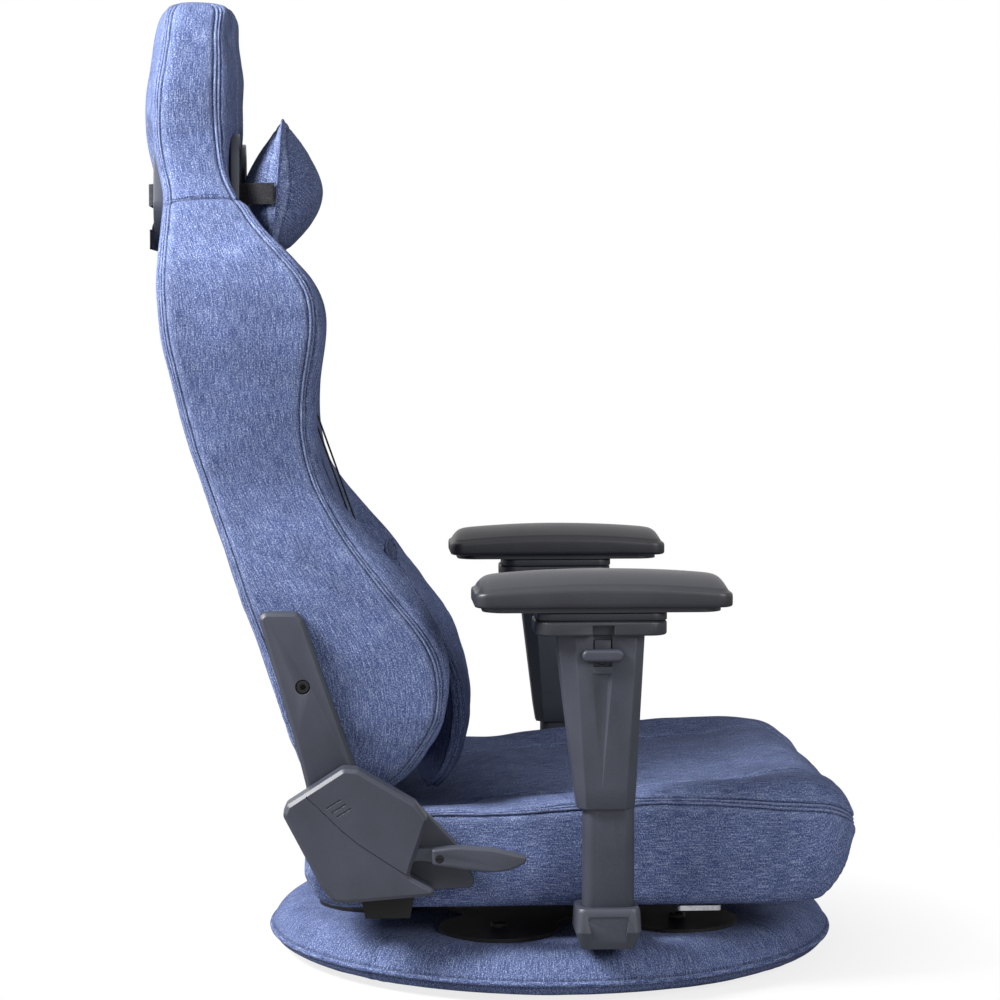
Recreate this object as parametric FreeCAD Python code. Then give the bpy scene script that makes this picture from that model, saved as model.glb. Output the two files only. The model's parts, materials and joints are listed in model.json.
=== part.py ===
import FreeCAD, Part
import math
import os

# Floor gaming chair without legs: a padded disc on the floor carries a swivelling seat, a reclining
# backrest and two adjustable armrests.
# Frame: origin on the swivel axis at the floor, +X to the front, +Y to the sitter's left, +Z up.
# All sizes are in millimetres. Pieces of the right-hand side (negative Y) are built first and
# the left-hand ones are their mirror images.

V = FreeCAD.Vector

# Base
base_radius = 300.0
base_height = 50.0
rim_height = 21.0
rim_piping_radius = 2.4
sheet_radius = base_radius - 50.0
sheet_thickness = 6.0
board_radius = base_radius - 20.0
board_bottom = 8.0
board_thickness = 18.0
lip_radius = base_radius - 65.0

# Turntable
plate_thickness = 4.0
lobe_count = 6
lobe_radius = 62.0
lobe_circle = 190.0
lobe_turn = -50.0
lobe_waist_radius = 142.0
lobe_fillet = 26.0
lobe_bolt_radius = 4.0
bearing_circle = 41.0
race_inner_radius = 32.0
race_outer_radius = 50.0
race_height = 8.0
race_gap = 2.0
ball_radius = 4.5
ball_count = 18
ball_clearance = 0.1
kingpin_radius = 12.0
kingpin_flange_radius = 27.0
upper_plate_size = 240.0

# Seat frame
running_clearance = 0.05
air = 0.3
rail_size = 20.0
rail_wall = 2.0
frame_rear = -210.0
frame_front = 235.0
cross_tube_place = 75.0
bracket_thickness = 6.0
strip_thickness = 5.0
strip_width = 40.0
webbing_thickness = 2.0
webbing_width = 60.0
webbing_count = 5

# Seat cushion
skirt_height = 86.0
seat_half_width = 250.0
frame_half_width = seat_half_width - 35.0

# Armrests
post_x = 36.2
post_y = seat_half_width + 40.0
mast_length_x = 51.0
mast_length_y = 30.0
mast_corner = 11.0
mast_wall = 2.5
mast_top = 345.0
mast_hole_radius = 4.0
mast_hole_count = 7
sleeve_bottom = 197.0
sleeve_top = 369.0
sleeve_clearance = 0.4
head_thickness = 14.0
rotor_x = 28.0
rotor_y = post_y - 2.0
rotor_thickness = 8.0
rotor_pin_radius = 8.0
slide_stud_radius = 5.0
pad_travel = 30.0
pad_length = 251.0
pad_width = 94.0
pad_base_thickness = 5.0
paddle_travel = 4.0
lock_pin_radius = 3.5

# Recliner
pivot_x = -216.0
pivot_z = 165.0
pivot_radius = 8.0
fixed_plate_inner = seat_half_width + 1.0
steel_thickness = 5.0
plate_gap = 0.4
hinge_radius = 40.0
sector_root = 32.5
sector_tip = 36.0
tooth_pitch_deg = 5.0
sector_from_deg = -142.0
sector_to_deg = -42.0
pawl_from_deg = -72.0
pawl_to_deg = -48.0
pawl_gap = 0.6
lever_x = -172.0
lever_z = 150.0
lever_shaft_radius = 5.0
arm_bolt_x = -263.0
arm_bolt_z = 314.0
arm_cover_inner = fixed_plate_inner + 0.5
arm_cover_outer = fixed_plate_inner + 20.0
cover_wall = 3.0
side_cover_inner = fixed_plate_inner + 23.0
side_cover_outer = fixed_plate_inner + 51.0
spring_turns = 3
spring_strip = 1.4
spring_pitch = 5.0

# Backrest
frame_tube_radius = 11.0
headrest_bottom = 748.0
hole_centre_y = 96.0
hole_centre_z = 812.0
hole_width = 42.0
hole_height = 84.0
hole_slant_deg = 12.0
bezel_wall = 3.0
bezel_flange = 9.0
bezel_front = -327.0
bezel_rear = -414.0

# Head pillow and lumbar cushion
pillow_half_width = 135.0
pillow_top = 882.0
pillow_bottom = 738.0
pillow_strap_bottom = 790.0
pillow_strap_width = 22.0
strap_thickness = 1.6
lumbar_strap_width = 20.0

# Heights that follow from the sizes above
lower_plate_top = base_height + plate_thickness
lower_race_top = lower_plate_top + race_height
upper_race_bottom = lower_race_top + race_gap
upper_plate_bottom = upper_race_bottom + race_height
upper_plate_top = upper_plate_bottom + plate_thickness
rail_bottom = 85.0
frame_over_plate = 9.0
chair_rise = upper_plate_top + frame_over_plate - rail_bottom
rail_top = rail_bottom + rail_size
webbing_top = rail_top + webbing_thickness
head_top = sleeve_top + head_thickness
rotor_bottom = head_top + air
rotor_top = rotor_bottom + rotor_thickness
pad_base_bottom = rotor_top + air
pad_bottom = pad_base_bottom + pad_base_thickness
fixed_plate_outer = fixed_plate_inner + steel_thickness
arm_inner = fixed_plate_outer + plate_gap
arm_outer = arm_inner + steel_thickness
pillow_strap_top = pillow_strap_bottom + pillow_strap_width


def on_xz(y):
    """Plane at a given y: first number along X, second along Z."""
    return lambda u, v: V(u, y, v)


def on_xy(z):
    """Plane at a given z: first number along X, second along Y."""
    return lambda u, v: V(u, v, z)


def on_yz(x):
    """Plane at a given x: first number along Y, second along Z."""
    return lambda u, v: V(x, u, v)


def rounded_wire(points, radius, place):
    """Closed outline through points with each corner rounded by a tangent arc."""
    flat = [V(p[0], p[1], 0) for p in points]
    radii = [p[2] if len(p) > 2 else radius for p in points]
    starts = []
    ends = []
    middles = []
    count = len(flat)
    for i, corner in enumerate(flat):
        before = flat[i - 1] - corner
        after = flat[(i + 1) % count] - corner
        half = before.getAngle(after) / 2
        reach = radii[i] / math.tan(half) if radii[i] else 0.0
        reach = min(reach, 0.49 * before.Length, 0.49 * after.Length)
        r = reach * math.tan(half)
        a = corner + before.normalize() * reach
        b = corner + after.normalize() * reach
        inward = before + after
        if r > 0.01 and inward.Length > 1e-6:
            centre = corner + inward.normalize() * (r / math.sin(half))
            middles.append(centre + (corner - centre).normalize() * r)
        else:
            middles.append(None)
        starts.append(a)
        ends.append(b)
    edges = []
    for i in range(count):
        if middles[i]:
            arc = [place(p.x, p.y) for p in (starts[i], middles[i], ends[i])]
            edges.append(Part.Arc(*arc).toShape())
        p = ends[i]
        q = starts[(i + 1) % count]
        if (q - p).Length > 1e-4:
            edges.append(Part.makeLine(place(p.x, p.y), place(q.x, q.y)))
    return Part.Wire(edges)


def prism_y(points, y0, y1, radius=0.0):
    """Plate with an outline in the XZ plane, from y0 to y1."""
    face = Part.Face(rounded_wire(points, radius, on_xz(y0)))
    return face.extrude(V(0, y1 - y0, 0))


def prism_z(points, z0, z1, radius=0.0):
    """Slab with an outline in the XY plane, from z0 to z1."""
    face = Part.Face(rounded_wire(points, radius, on_xy(z0)))
    return face.extrude(V(0, 0, z1 - z0))


def prism_x(points, x0, x1, radius=0.0):
    """Block with an outline in the YZ plane, from x0 to x1."""
    face = Part.Face(rounded_wire(points, radius, on_yz(x0)))
    return face.extrude(V(x1 - x0, 0, 0))


def rectangle(u0, u1, v0, v1):
    return [(u0, v0), (u1, v0), (u1, v1), (u0, v1)]


def rod_y(x, z, radius, y0, y1):
    return Part.makeCylinder(radius, abs(y1 - y0), V(x, min(y0, y1), z), V(0, 1, 0))


def rod_z(x, y, radius, z0, z1):
    return Part.makeCylinder(radius, z1 - z0, V(x, y, z0))


def disc(radius, z0, z1):
    return rod_z(0, 0, radius, z0, z1)


def rod_between(a, b, radius):
    return Part.makeCylinder(radius, (b - a).Length, a, b - a)


def mirrored(shape):
    return shape.mirror(V(0, 0, 0), V(0, 1, 0))


def fused(shapes):
    body = shapes[0]
    if len(shapes) > 1:
        body = body.multiFuse(shapes[1:])
    return body.removeSplitter()


def group(shapes):
    return Part.makeCompound(shapes)


def revolved(edges):
    """Solid of revolution about Z from profile edges in the XZ plane."""
    return Part.Face(Part.Wire(edges)).revolve(V(0, 0, 0), V(0, 0, 1), 360)


def polyline(points):
    return [Part.makeLine(a, b) for a, b in zip(points, points[1:])]


def arc(a, b, c):
    return Part.Arc(a, b, c).toShape()


# Base

def turntable_bolt_places():
    step = 360.0 / lobe_count
    for i in range(lobe_count):
        angle = math.radians(lobe_turn + i * step)
        yield lobe_circle * math.cos(angle), lobe_circle * math.sin(angle)


def base_parts():
    clear = 0.25
    shank_bottom = board_bottom + 4.0
    shanks = [rod_z(x, y, lobe_bolt_radius + clear, shank_bottom - 1, base_height + 1)
              for x, y in turntable_bolt_places()]
    sheet = fused([disc(sheet_radius, 0, sheet_thickness),
                   disc(lip_radius - air, sheet_thickness - 1, board_bottom)])
    board = disc(board_radius, board_bottom, board_bottom + board_thickness).cut(group(shanks))

    shoulder = base_radius - 16.0
    flat_radius = base_radius - 45.0
    place = on_xz(0)
    board_top = board_bottom + board_thickness
    top_arc = arc(place(flat_radius, base_height), place(base_radius - 29.0, base_height - 1.3),
                  place(shoulder, base_height - 6.0))
    side_arc = arc(place(shoulder, base_height - 6.0), place(base_radius - 4.5, rim_height + 13.0),
                   place(base_radius, rim_height))
    under_arc = arc(place(base_radius, rim_height), place(base_radius - 13.0, rim_height - 9.5),
                    place(base_radius - 38.0, sheet_thickness))
    inside = polyline([place(base_radius - 38.0, sheet_thickness), place(lip_radius, sheet_thickness),
                       place(lip_radius, board_bottom), place(board_radius, board_bottom),
                       place(board_radius, board_top), place(0, board_top),
                       place(0, base_height), place(flat_radius, base_height)])
    pad = revolved([top_arc, side_arc, under_arc] + inside)
    piping = Part.makeTorus(base_radius, rim_piping_radius, V(0, 0, rim_height), V(0, 0, 1))
    pad = pad.cut(group(shanks + [piping]))
    return {"non_slip_sheet": sheet, "base_board": board, "base_pad": pad, "base_piping": piping}


def turntable_parts():
    z0 = base_height
    lobes = [rod_z(x, y, lobe_radius, z0, lower_plate_top) for x, y in turntable_bolt_places()]
    plate = fused([disc(lobe_waist_radius, z0, lower_plate_top)] + lobes)
    corners = [e for e in plate.Edges
               if len(e.Vertexes) == 2 and abs(e.Vertexes[0].Z - e.Vertexes[1].Z) > 1.0
               and abs(e.Vertexes[0].X - e.Vertexes[1].X) < 0.01]
    plate = plate.makeFillet(lobe_fillet, corners)
    holes = [rod_z(x, y, lobe_bolt_radius + 0.25, z0 - 1, lower_plate_top + 1)
             for x, y in turntable_bolt_places()]
    plate = plate.cut(group(holes))

    bolts = []
    for x, y in turntable_bolt_places():
        head = rod_z(x, y, 8.5, lower_plate_top, lower_plate_top + 4.5)
        head = head.makeFillet(2.5, [head.Edges[0]])
        socket = Part.makeCylinder(2.8, 3.0, V(x, y, lower_plate_top + 2.5))
        shank = rod_z(x, y, lobe_bolt_radius, board_bottom + 4.0, lower_plate_top)
        bolts.append(head.fuse(shank).cut(socket))

    groove = Part.makeTorus(bearing_circle, ball_radius + ball_clearance,
                            V(0, 0, lower_race_top + race_gap / 2), V(0, 0, 1))
    lower_race = disc(race_outer_radius, lower_plate_top, lower_race_top)
    lower_race = lower_race.cut(disc(race_inner_radius, z0, lower_race_top + 1)).cut(groove)
    upper_race = disc(race_outer_radius, upper_race_bottom, upper_plate_bottom)
    upper_race = upper_race.cut(disc(race_inner_radius, z0, upper_plate_bottom + 1)).cut(groove)
    balls = []
    for i in range(ball_count):
        angle = 2 * math.pi * i / ball_count
        centre = V(bearing_circle * math.cos(angle), bearing_circle * math.sin(angle),
                   lower_race_top + race_gap / 2)
        balls.append(Part.makeSphere(ball_radius, centre))

    nut_bottom = upper_plate_top + air
    nut_height = 8.0
    kingpin = fused([disc(kingpin_flange_radius, lower_plate_top, lower_plate_top + 4.0),
                     disc(kingpin_radius, lower_plate_top, nut_bottom + nut_height)])
    hexagon = [(20.0 * math.cos(math.radians(60 * i)), 20.0 * math.sin(math.radians(60 * i)))
               for i in range(6)]
    nut = prism_z(hexagon, nut_bottom, nut_bottom + nut_height)
    nut = nut.cut(disc(kingpin_radius, nut_bottom - 1, nut_bottom + nut_height + 1))

    half = upper_plate_size / 2
    upper_plate = prism_z(rectangle(-half, half, -half, half), upper_plate_bottom,
                          upper_plate_top, 26.0)
    upper_plate = upper_plate.cut(disc(kingpin_radius + running_clearance, z0, upper_plate_top + 1))
    return {
        "turntable_lower_plate": plate,
        "turntable_bolts": group(bolts),
        "bearing_lower_race": lower_race,
        "bearing_balls": group(balls),
        "kingpin": kingpin,
        "king_nut": nut,
        "bearing_upper_race": upper_race,
        "turntable_upper_plate": upper_plate,
    }


# Seat frame and cushion

def square_tube_ring(x0, x1, half, z0, size, wall):
    """Rectangular ring welded from square tube, hollow all round."""
    def ring(inset):
        outer = prism_z(rectangle(x0 + inset, x1 - inset, -half + inset, half - inset),
                        z0 + inset, z0 + size - inset, 14.0)
        inner = prism_z(rectangle(x0 + size - inset, x1 - size + inset,
                                  -half + size - inset, half - size + inset),
                        z0 - 1, z0 + size + 1, 6.0)
        return outer.cut(inner)
    return ring(0.0).cut(ring(wall))


def seat_frame_parts():
    ring = square_tube_ring(frame_rear, frame_front, frame_half_width, rail_bottom, rail_size,
                            rail_wall)
    inner_half = frame_half_width - rail_size
    cross = []
    for x in (-cross_tube_place, cross_tube_place):
        half = rail_size / 2
        outer = prism_y(rectangle(x - half, x + half, rail_bottom, rail_top),
                        -inner_half, inner_half, 2.0)
        bore = prism_y(rectangle(x - half + rail_wall, x + half - rail_wall,
                                 rail_bottom + rail_wall, rail_top - rail_wall),
                       -inner_half, inner_half)
        cross.append(outer.cut(bore))
    frame = fused([ring] + cross)

    # four bent strips carry the frame on the upper turntable plate
    arms = []
    low = rail_bottom - frame_over_plate
    high = rail_bottom - strip_thickness
    plate_end = 92.0
    rise_end = plate_end + 64.0
    tip = (frame_half_width - 39.7) / math.sin(math.radians(43.0))
    profile = [(62.0, low), (plate_end + 30.0, low), (rise_end, high), (tip, high),
               (tip, rail_bottom), (rise_end - 2.0, rail_bottom),
               (plate_end + 28.0, low + strip_thickness), (62.0, low + strip_thickness)]
    strip = prism_y(profile, -strip_width / 2, strip_width / 2)
    for angle in (43.0, 137.0, 223.0, 317.0):
        arm = strip.copy()
        arm.rotate(V(0, 0, 0), V(0, 0, 1), angle)
        arms.append(arm)

    webbing = []
    span = frame_front - frame_rear - 2 * rail_size
    step = span / webbing_count
    for i in range(webbing_count):
        x = frame_rear + rail_size + (i + 0.5) * step
        webbing.append(prism_z(rectangle(x - webbing_width / 2, x + webbing_width / 2,
                                         -frame_half_width + 4.0, frame_half_width - 4.0),
                               rail_top, webbing_top, 3.0))

    tie = prism_z(rectangle(112.0, 156.0, -frame_half_width - 22.0,
                            -frame_half_width + rail_size + 2.0),
                  rail_bottom - strip_thickness, rail_bottom, 4.0)
    return {
        "seat_frame": frame,
        "under_frame_arms": group(arms),
        "seat_webbing": group(webbing),
        "frame_tie_plates": group([tie, mirrored(tie)]),
    }


# Seat cushion stations from rear to front: x, bottom, top seam, bolster crest, panel edge,
# panel centre and how far the side is drawn in from the widest place
seat_stations = [
    (-261.0, 113.0, 123.0, 124.5, 126.0, 127.0, 30.0),
    (-257.0, 103.0, 134.0, 136.0, 138.0, 139.0, 15.0),
    (-246.0, 92.0, 150.0, 153.0, 151.0, 152.0, 7.0),
    (-222.0, 86.5, 168.0, 171.0, 160.0, 161.0, 2.5),
    (-172.0, skirt_height, 181.0, 184.0, 163.0, 165.0, 1.0),
    (-128.0, skirt_height, 184.0, 187.0, 168.0, 171.0, 0.0),
    (-75.0, skirt_height, 184.0, 188.0, 180.0, 183.5, 0.0),
    (0.0, skirt_height, 188.0, 196.0, 186.0, 190.0, 0.0),
    (70.0, skirt_height, 193.0, 203.0, 189.5, 194.0, 0.0),
    (132.0, skirt_height, 193.0, 208.5, 194.5, 199.0, 0.0),
    (190.0, skirt_height, 189.0, 211.0, 200.0, 203.5, 0.5),
    (226.0, 86.0, 186.0, 209.0, 202.0, 205.0, 2.0),
    (254.0, 89.0, 182.5, 202.5, 198.5, 201.0, 5.0),
    (273.0, 103.0, 178.0, 193.0, 190.5, 192.5, 11.0),
    (287.0, 127.0, 170.0, 180.0, 178.5, 180.0, 21.0),
    (296.0, 144.0, 158.0, 162.0, 161.0, 162.0, 42.0),
]


def seat_section(x, bottom, seam, crest, panel, centre, drawn_in):
    """Cross-section of the seat: drawn-in sides, two bolsters and a crowned middle panel."""
    def at(y, z):
        return V(x, y, z)
    half = seat_half_width - drawn_in
    round_low = min(9.0, (seam - bottom) / 4)
    crest_y = half - 36.0
    panel_y = half - 98.0
    foot_y = half - 7.0
    mid_z = bottom + 0.55 * (seam - bottom)
    lift = 0.35
    edges = []
    edges.append(Part.makeLine(at(-foot_y + round_low, bottom), at(foot_y - round_low, bottom)))
    right = [
        arc(at(foot_y - round_low, bottom), at(foot_y - round_low * lift, bottom + round_low * lift),
            at(foot_y, bottom + round_low)),
        arc(at(foot_y, bottom + round_low), at(half, mid_z), at(half - 5.0, seam)),
        arc(at(half - 5.0, seam), at(half - 17.0, seam + 0.74 * (crest - seam)), at(crest_y, crest)),
        arc(at(crest_y, crest), at((crest_y + panel_y) / 2 + 6.0, (crest + panel) / 2 + 1.5),
            at(panel_y, panel)),
    ]
    edges += right
    edges.append(arc(at(panel_y, panel), at(0, centre), at(-panel_y, panel)))
    for e in reversed(right):
        a, m, b = e.valueAt(e.FirstParameter), e.valueAt(
            (e.FirstParameter + e.LastParameter) / 2), e.valueAt(e.LastParameter)
        edges.append(arc(V(b.x, -b.y, b.z), V(m.x, -m.y, m.z), V(a.x, -a.y, a.z)))
    return Part.Wire(edges)


def seat_cushion():
    body = Part.makeLoft([seat_section(*s) for s in seat_stations], True, False)
    pocket = prism_z(rectangle(frame_rear - 3.0, frame_front + 3.0, -frame_half_width - 3.0,
                               frame_half_width + 3.0), 60.0, webbing_top, 15.0)
    return body.cut(pocket)


# Armrests

def oval_section(cx, cy, length_x, length_y, grow, z, corner):
    hx = length_x / 2 + grow
    hy = length_y / 2 + grow
    return rounded_wire(rectangle(cx - hx, cx + hx, cy - hy, cy + hy), corner + grow, on_xy(z))


def mast_prism(grow, z0, z1):
    wire = oval_section(post_x, -post_y, mast_length_x, mast_length_y, grow, z0, mast_corner)
    return Part.Face(wire).extrude(V(0, 0, z1 - z0))


def octagon(z, x_rear, x_front, x_face_rear, x_face_front, half_edge, half_face):
    """Eight-sided section of the armrest sleeve at height z."""
    y = -post_y
    corners = [(x_rear, y - half_edge), (x_face_rear, y - half_face),
               (x_face_front, y - half_face), (x_front, y - half_edge),
               (x_front, y + half_edge), (x_face_front, y + half_face),
               (x_face_rear, y + half_face), (x_rear, y + half_edge)]
    return rounded_wire(corners, 2.5, on_xy(z))


def sleeve_groove(y):
    """Shallow groove with sloped walls that narrows to a point down the sleeve's outer face."""
    groove_top = 331.0
    groove_point = 219.0
    low_face, high_face = 22.0, 27.0

    def section(z, share):
        surface_y = y - low_face - (z - 216.0) * (high_face - low_face) / (sleeve_top - 216.0)
        outside = surface_y - share
        floor = surface_y + 3.0 * share
        corners = [(rotor_x - 12.2 * share, outside), (rotor_x + 11.3 * share, outside),
                   (rotor_x + 6.0 * share, floor), (rotor_x - 3.5 * share, floor)]
        return rounded_wire(corners, 0.0, on_xy(z))
    return Part.makeLoft([section(groove_top, 1.0), section(groove_point, 0.04)], True, True)


def armrest_parts():
    """Right-hand armrest, from the bracket under the seat to the pad."""
    y = -post_y
    bar_half = 24.0
    bar_bottom = rail_bottom - bracket_thickness
    bar_end = -frame_half_width + 65.0
    bracket = prism_z(rectangle(post_x - bar_half, post_x + bar_half, y - 14.0, bar_end),
                      bar_bottom, rail_bottom, 8.0)

    mast = mast_prism(0.0, rail_bottom, mast_top)
    mast = mast.cut(mast_prism(-mast_wall, rail_bottom - 1, mast_top + 1))
    outer_face = y - mast_length_y / 2
    for i in range(mast_hole_count):
        z = 333.0 - 10.0 * i
        mast = mast.cut(rod_y(rotor_x, z, mast_hole_radius, outer_face - 2, outer_face + mast_wall + 1))

    cap_top = oval_section(post_x - 1.2, y, 61.0, 46.0, 0.0, 99.0, 9.0)
    cap_shoulder = oval_section(post_x - 1.2, y, 63.0, 48.0, 0.0, 96.0, 9.0)
    cap_belt = oval_section(post_x - 1.2, y, 64.5, 54.0, 0.0, 76.0, 7.0)
    cap_foot = oval_section(post_x - 1.2, y, 53.0, 40.0, 0.0, 58.5, 7.0)
    cap = Part.makeLoft([cap_foot, cap_belt, cap_shoulder, cap_top], True, True)
    cap = cap.cut(mast_prism(air, rail_bottom - 0.5, 120.0))
    cap = cap.cut(prism_z(rectangle(post_x - bar_half - air, post_x + bar_half + air,
                                    y - 14.0 - air, bar_end), bar_bottom - air, rail_bottom + air))
    face_y = y - 27.0
    recess = prism_y([(20.5, 65.0), (50.5, 65.0), (55.0, 91.0), (13.5, 91.0)],
                     face_y - 4.0, face_y + 3.0, 3.0)
    cap = cap.cut(recess)

    sections = [octagon(sleeve_bottom, 5.0, 61.5, 13.0, 52.6, 11.0, 20.0),
                octagon(216.0, 2.0, 62.5, 11.5, 53.0, 13.0, 22.0),
                octagon(sleeve_top, -16.5, 70.0, 1.3, 61.0, 18.0, 27.0)]
    sleeve = Part.makeLoft(sections, True, True)
    sleeve = sleeve.cut(mast_prism(sleeve_clearance, sleeve_bottom - 1, mast_top + 9.0))
    stem_half = 8.0
    face = y - 27.0
    slot = prism_y(rectangle(rotor_x - stem_half - 1.2, rotor_x + stem_half + 1.2, 338.0,
                             sleeve_top + 1), face - 6, face + 5.2, 1.0)
    sleeve = sleeve.cut(slot).cut(sleeve_groove(y))
    pin_z = 343.0
    pin_gap = lock_pin_radius + 0.5
    sleeve = sleeve.cut(prism_y(rectangle(rotor_x - pin_gap, rotor_x + pin_gap, pin_z - pin_gap,
                                          pin_z + paddle_travel + pin_gap), face - 6, y,
                                pin_gap - 0.05))

    head = prism_z(rectangle(-38.0, 91.0, y - 38.0, y + 36.0), sleeve_top, head_top, 18.0)
    top_edges = [e for e in head.Edges if e.BoundBox.ZMin > head_top - 0.1]
    bottom_edges = [e for e in head.Edges if e.BoundBox.ZMax < sleeve_top + 0.1]
    head = head.makeChamfer(1.5, top_edges + bottom_edges)
    for side_y in (y - 38.0, y + 36.0):
        inward = 9.0 if side_y < y else -9.0
        low, high = sorted((side_y - inward, side_y + inward))
        head = head.cut(prism_z(rectangle(rotor_x - 10.5, rotor_x + 10.5, low, high),
                                sleeve_top - 1, head_top - 4.0, 1.0))
    pin_y = -rotor_y
    head = head.cut(rod_z(rotor_x, pin_y, rotor_pin_radius + running_clearance,
                          sleeve_top + 3.0, head_top + 1))

    # release paddle: finger plate, stem and a lock pin that points at the mast
    plate_y = y - 31.0
    plate = prism_y(rectangle(rotor_x - 20.5, rotor_x + 20.5, 343.5, 355.5), plate_y - 5.0,
                    plate_y + 3.0, 5.8)
    plate = plate.makeFillet(3.2, [e for e in plate.Edges if e.BoundBox.YMax < plate_y - 4.9])
    stem = prism_y(rectangle(rotor_x - stem_half, rotor_x + stem_half, 345.0, sleeve_top - 1.0 - paddle_travel),
                   face + 0.6, face + 4.8, 1.0)
    neck = prism_y(rectangle(rotor_x - 6.0, rotor_x + 6.0, 346.0, 353.0), plate_y + 2.0,
                   face + 4.0, 1.0)
    lock_pin = rod_y(rotor_x, pin_z, lock_pin_radius, face + 4.0,
                     outer_face - sleeve_clearance)
    paddle = fused([plate, stem, neck])
    paddle = paddle.fuse(lock_pin).removeSplitter()

    half_x = 63.5
    rotor = prism_z(rectangle(rotor_x - half_x, rotor_x + half_x, pin_y - 35.0, pin_y + 35.0),
                    rotor_bottom, rotor_top, 16.0)
    rim = [e for e in rotor.Edges if e.BoundBox.ZMin > rotor_top - 0.1]
    rotor = rotor.makeChamfer(1.2, rim)
    stud_offset = 35.0
    studs = [rod_z(rotor_x + s * stud_offset, pin_y, slide_stud_radius, rotor_top - 1,
                   rotor_top + 3.5) for s in (-1, 1)]
    pivot_pin = rod_z(rotor_x, pin_y, rotor_pin_radius, sleeve_top + 4.0, rotor_bottom + 1)
    rotor = fused([rotor, pivot_pin] + studs)

    inset = 9.0
    base_half_x = pad_length / 2 - inset
    base_half_y = pad_width / 2 - inset
    pad_base = prism_z(rectangle(rotor_x - base_half_x, rotor_x + base_half_x,
                                 pin_y - base_half_y, pin_y + base_half_y),
                       pad_base_bottom, pad_bottom, 22.0)
    slot_y = slide_stud_radius + air
    for s in (-1, 1):
        x = rotor_x + s * stud_offset
        reach = pad_travel + slot_y
        pad_base = pad_base.cut(prism_z(rectangle(x - reach, x + reach, pin_y - slot_y,
                                                  pin_y + slot_y),
                                        pad_base_bottom - 1, rotor_top + 4.0, slot_y - 0.05))
    return {
        "armrest_bracket": bracket,
        "mast": mast,
        "foot_cap": cap,
        "armrest_sleeve": sleeve,
        "armrest_head": head,
        "release_paddle": paddle,
        "rotor_plate": rotor,
        "pad_base": pad_base,
        "armrest_pad": armrest_pad(),
    }


def armrest_pad():
    """Crowned soft pad: a loft of rounded outlines, then a long shallow crown on top."""
    cx = rotor_x + 0.5
    cy = -rotor_y
    layers = [(pad_bottom, -8.0), (pad_bottom + 3.0, -3.0), (pad_bottom + 9.0, 0.0),
              (pad_bottom + 20.0, -1.5), (pad_bottom + 30.0, -6.0), (pad_bottom + 38.0, -14.0)]
    wires = []
    for z, grow in layers:
        wires.append(oval_section(cx, cy, pad_length, pad_width, grow, z, 27.0))
    body = Part.makeLoft(wires, True, True)
    # the crown is the inside of a long barrel, so the pad falls towards its ends and sides
    place = on_xz(cy)
    end_z = pad_bottom + 22.0
    mid_z = pad_bottom + 34.0
    reach = pad_length / 2 + 10.0
    crown = arc(place(cx - reach, end_z - 2.0), place(cx, mid_z), place(cx + reach, end_z))
    low = polyline([place(cx + reach, end_z), place(cx + reach, pad_bottom - 5.0),
                    place(cx - reach, pad_bottom - 5.0), place(cx - reach, end_z - 2.0)])
    barrel = Part.Face(Part.Wire([crown] + low)).extrude(V(0, pad_width + 20.0, 0))
    barrel.translate(V(0, -pad_width / 2 - 10.0, 0))
    return body.common(barrel)


# Recliner

cover_outline = [(-282.8, 192.3, 7.0), (-278.5, 202.5, 7.0), (-224.0, 237.5, 8.0),
                 (-209.5, 236.5, 9.0), (-153.0, 202.8), (-141.0, 187.0), (-157.5, 139.5),
                 (-159.5, 131.0), (-126.0, 112.0), (-222.4, 104.9), (-233.5, 106.2, 9.0),
                 (-245.0, 120.0, 30.0)]
inner_outline = [(-223.0, 106.5), (-126.0, 112.5), (-98.0, 113.0), (-94.0, 121.0),
                 (-112.5, 158.0), (-143.0, 190.0), (-200.0, 222.0), (-262.0, 160.0),
                 (-258.0, 146.0), (-233.0, 110.0)]


def polar(radius, degrees, cx=pivot_x, cz=pivot_z):
    angle = math.radians(degrees)
    return cx + radius * math.cos(angle), cz + radius * math.sin(angle)


def side_shell(points, y_open, y_face, wall, corner, chamfer):
    """Plastic cover open towards the chair, with a bevel round its outer face."""
    block = prism_y(points, y_open, y_face, corner)
    rim = [e for e in block.Edges if abs(e.BoundBox.YMin - y_face) < 0.01
           and abs(e.BoundBox.YMax - y_face) < 0.01]
    block = block.makeChamfer(chamfer, rim)
    sign = 1.0 if y_face < y_open else -1.0
    face = Part.Face(rounded_wire(points, corner, on_xz(y_open + sign)))
    hollow = face.makeOffset2D(-wall)
    depth = abs(y_face - y_open) - wall - 2.0 + sign * sign
    return block.cut(hollow.extrude(V(0, -sign * (depth + 1.0), 0)))


def tooth_ring(root, tip, from_deg, to_deg, pitch):
    """Points of a saw of pointed teeth on a circle about the recline axis."""
    points = []
    count = int(round((to_deg - from_deg) / pitch))
    for i in range(count):
        start = from_deg + i * pitch
        points.append(polar(root, start + 0.15 * pitch))
        points.append(polar(tip, start + 0.42 * pitch))
        points.append(polar(tip, start + 0.58 * pitch))
        points.append(polar(root, start + 0.85 * pitch))
    return points


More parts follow.
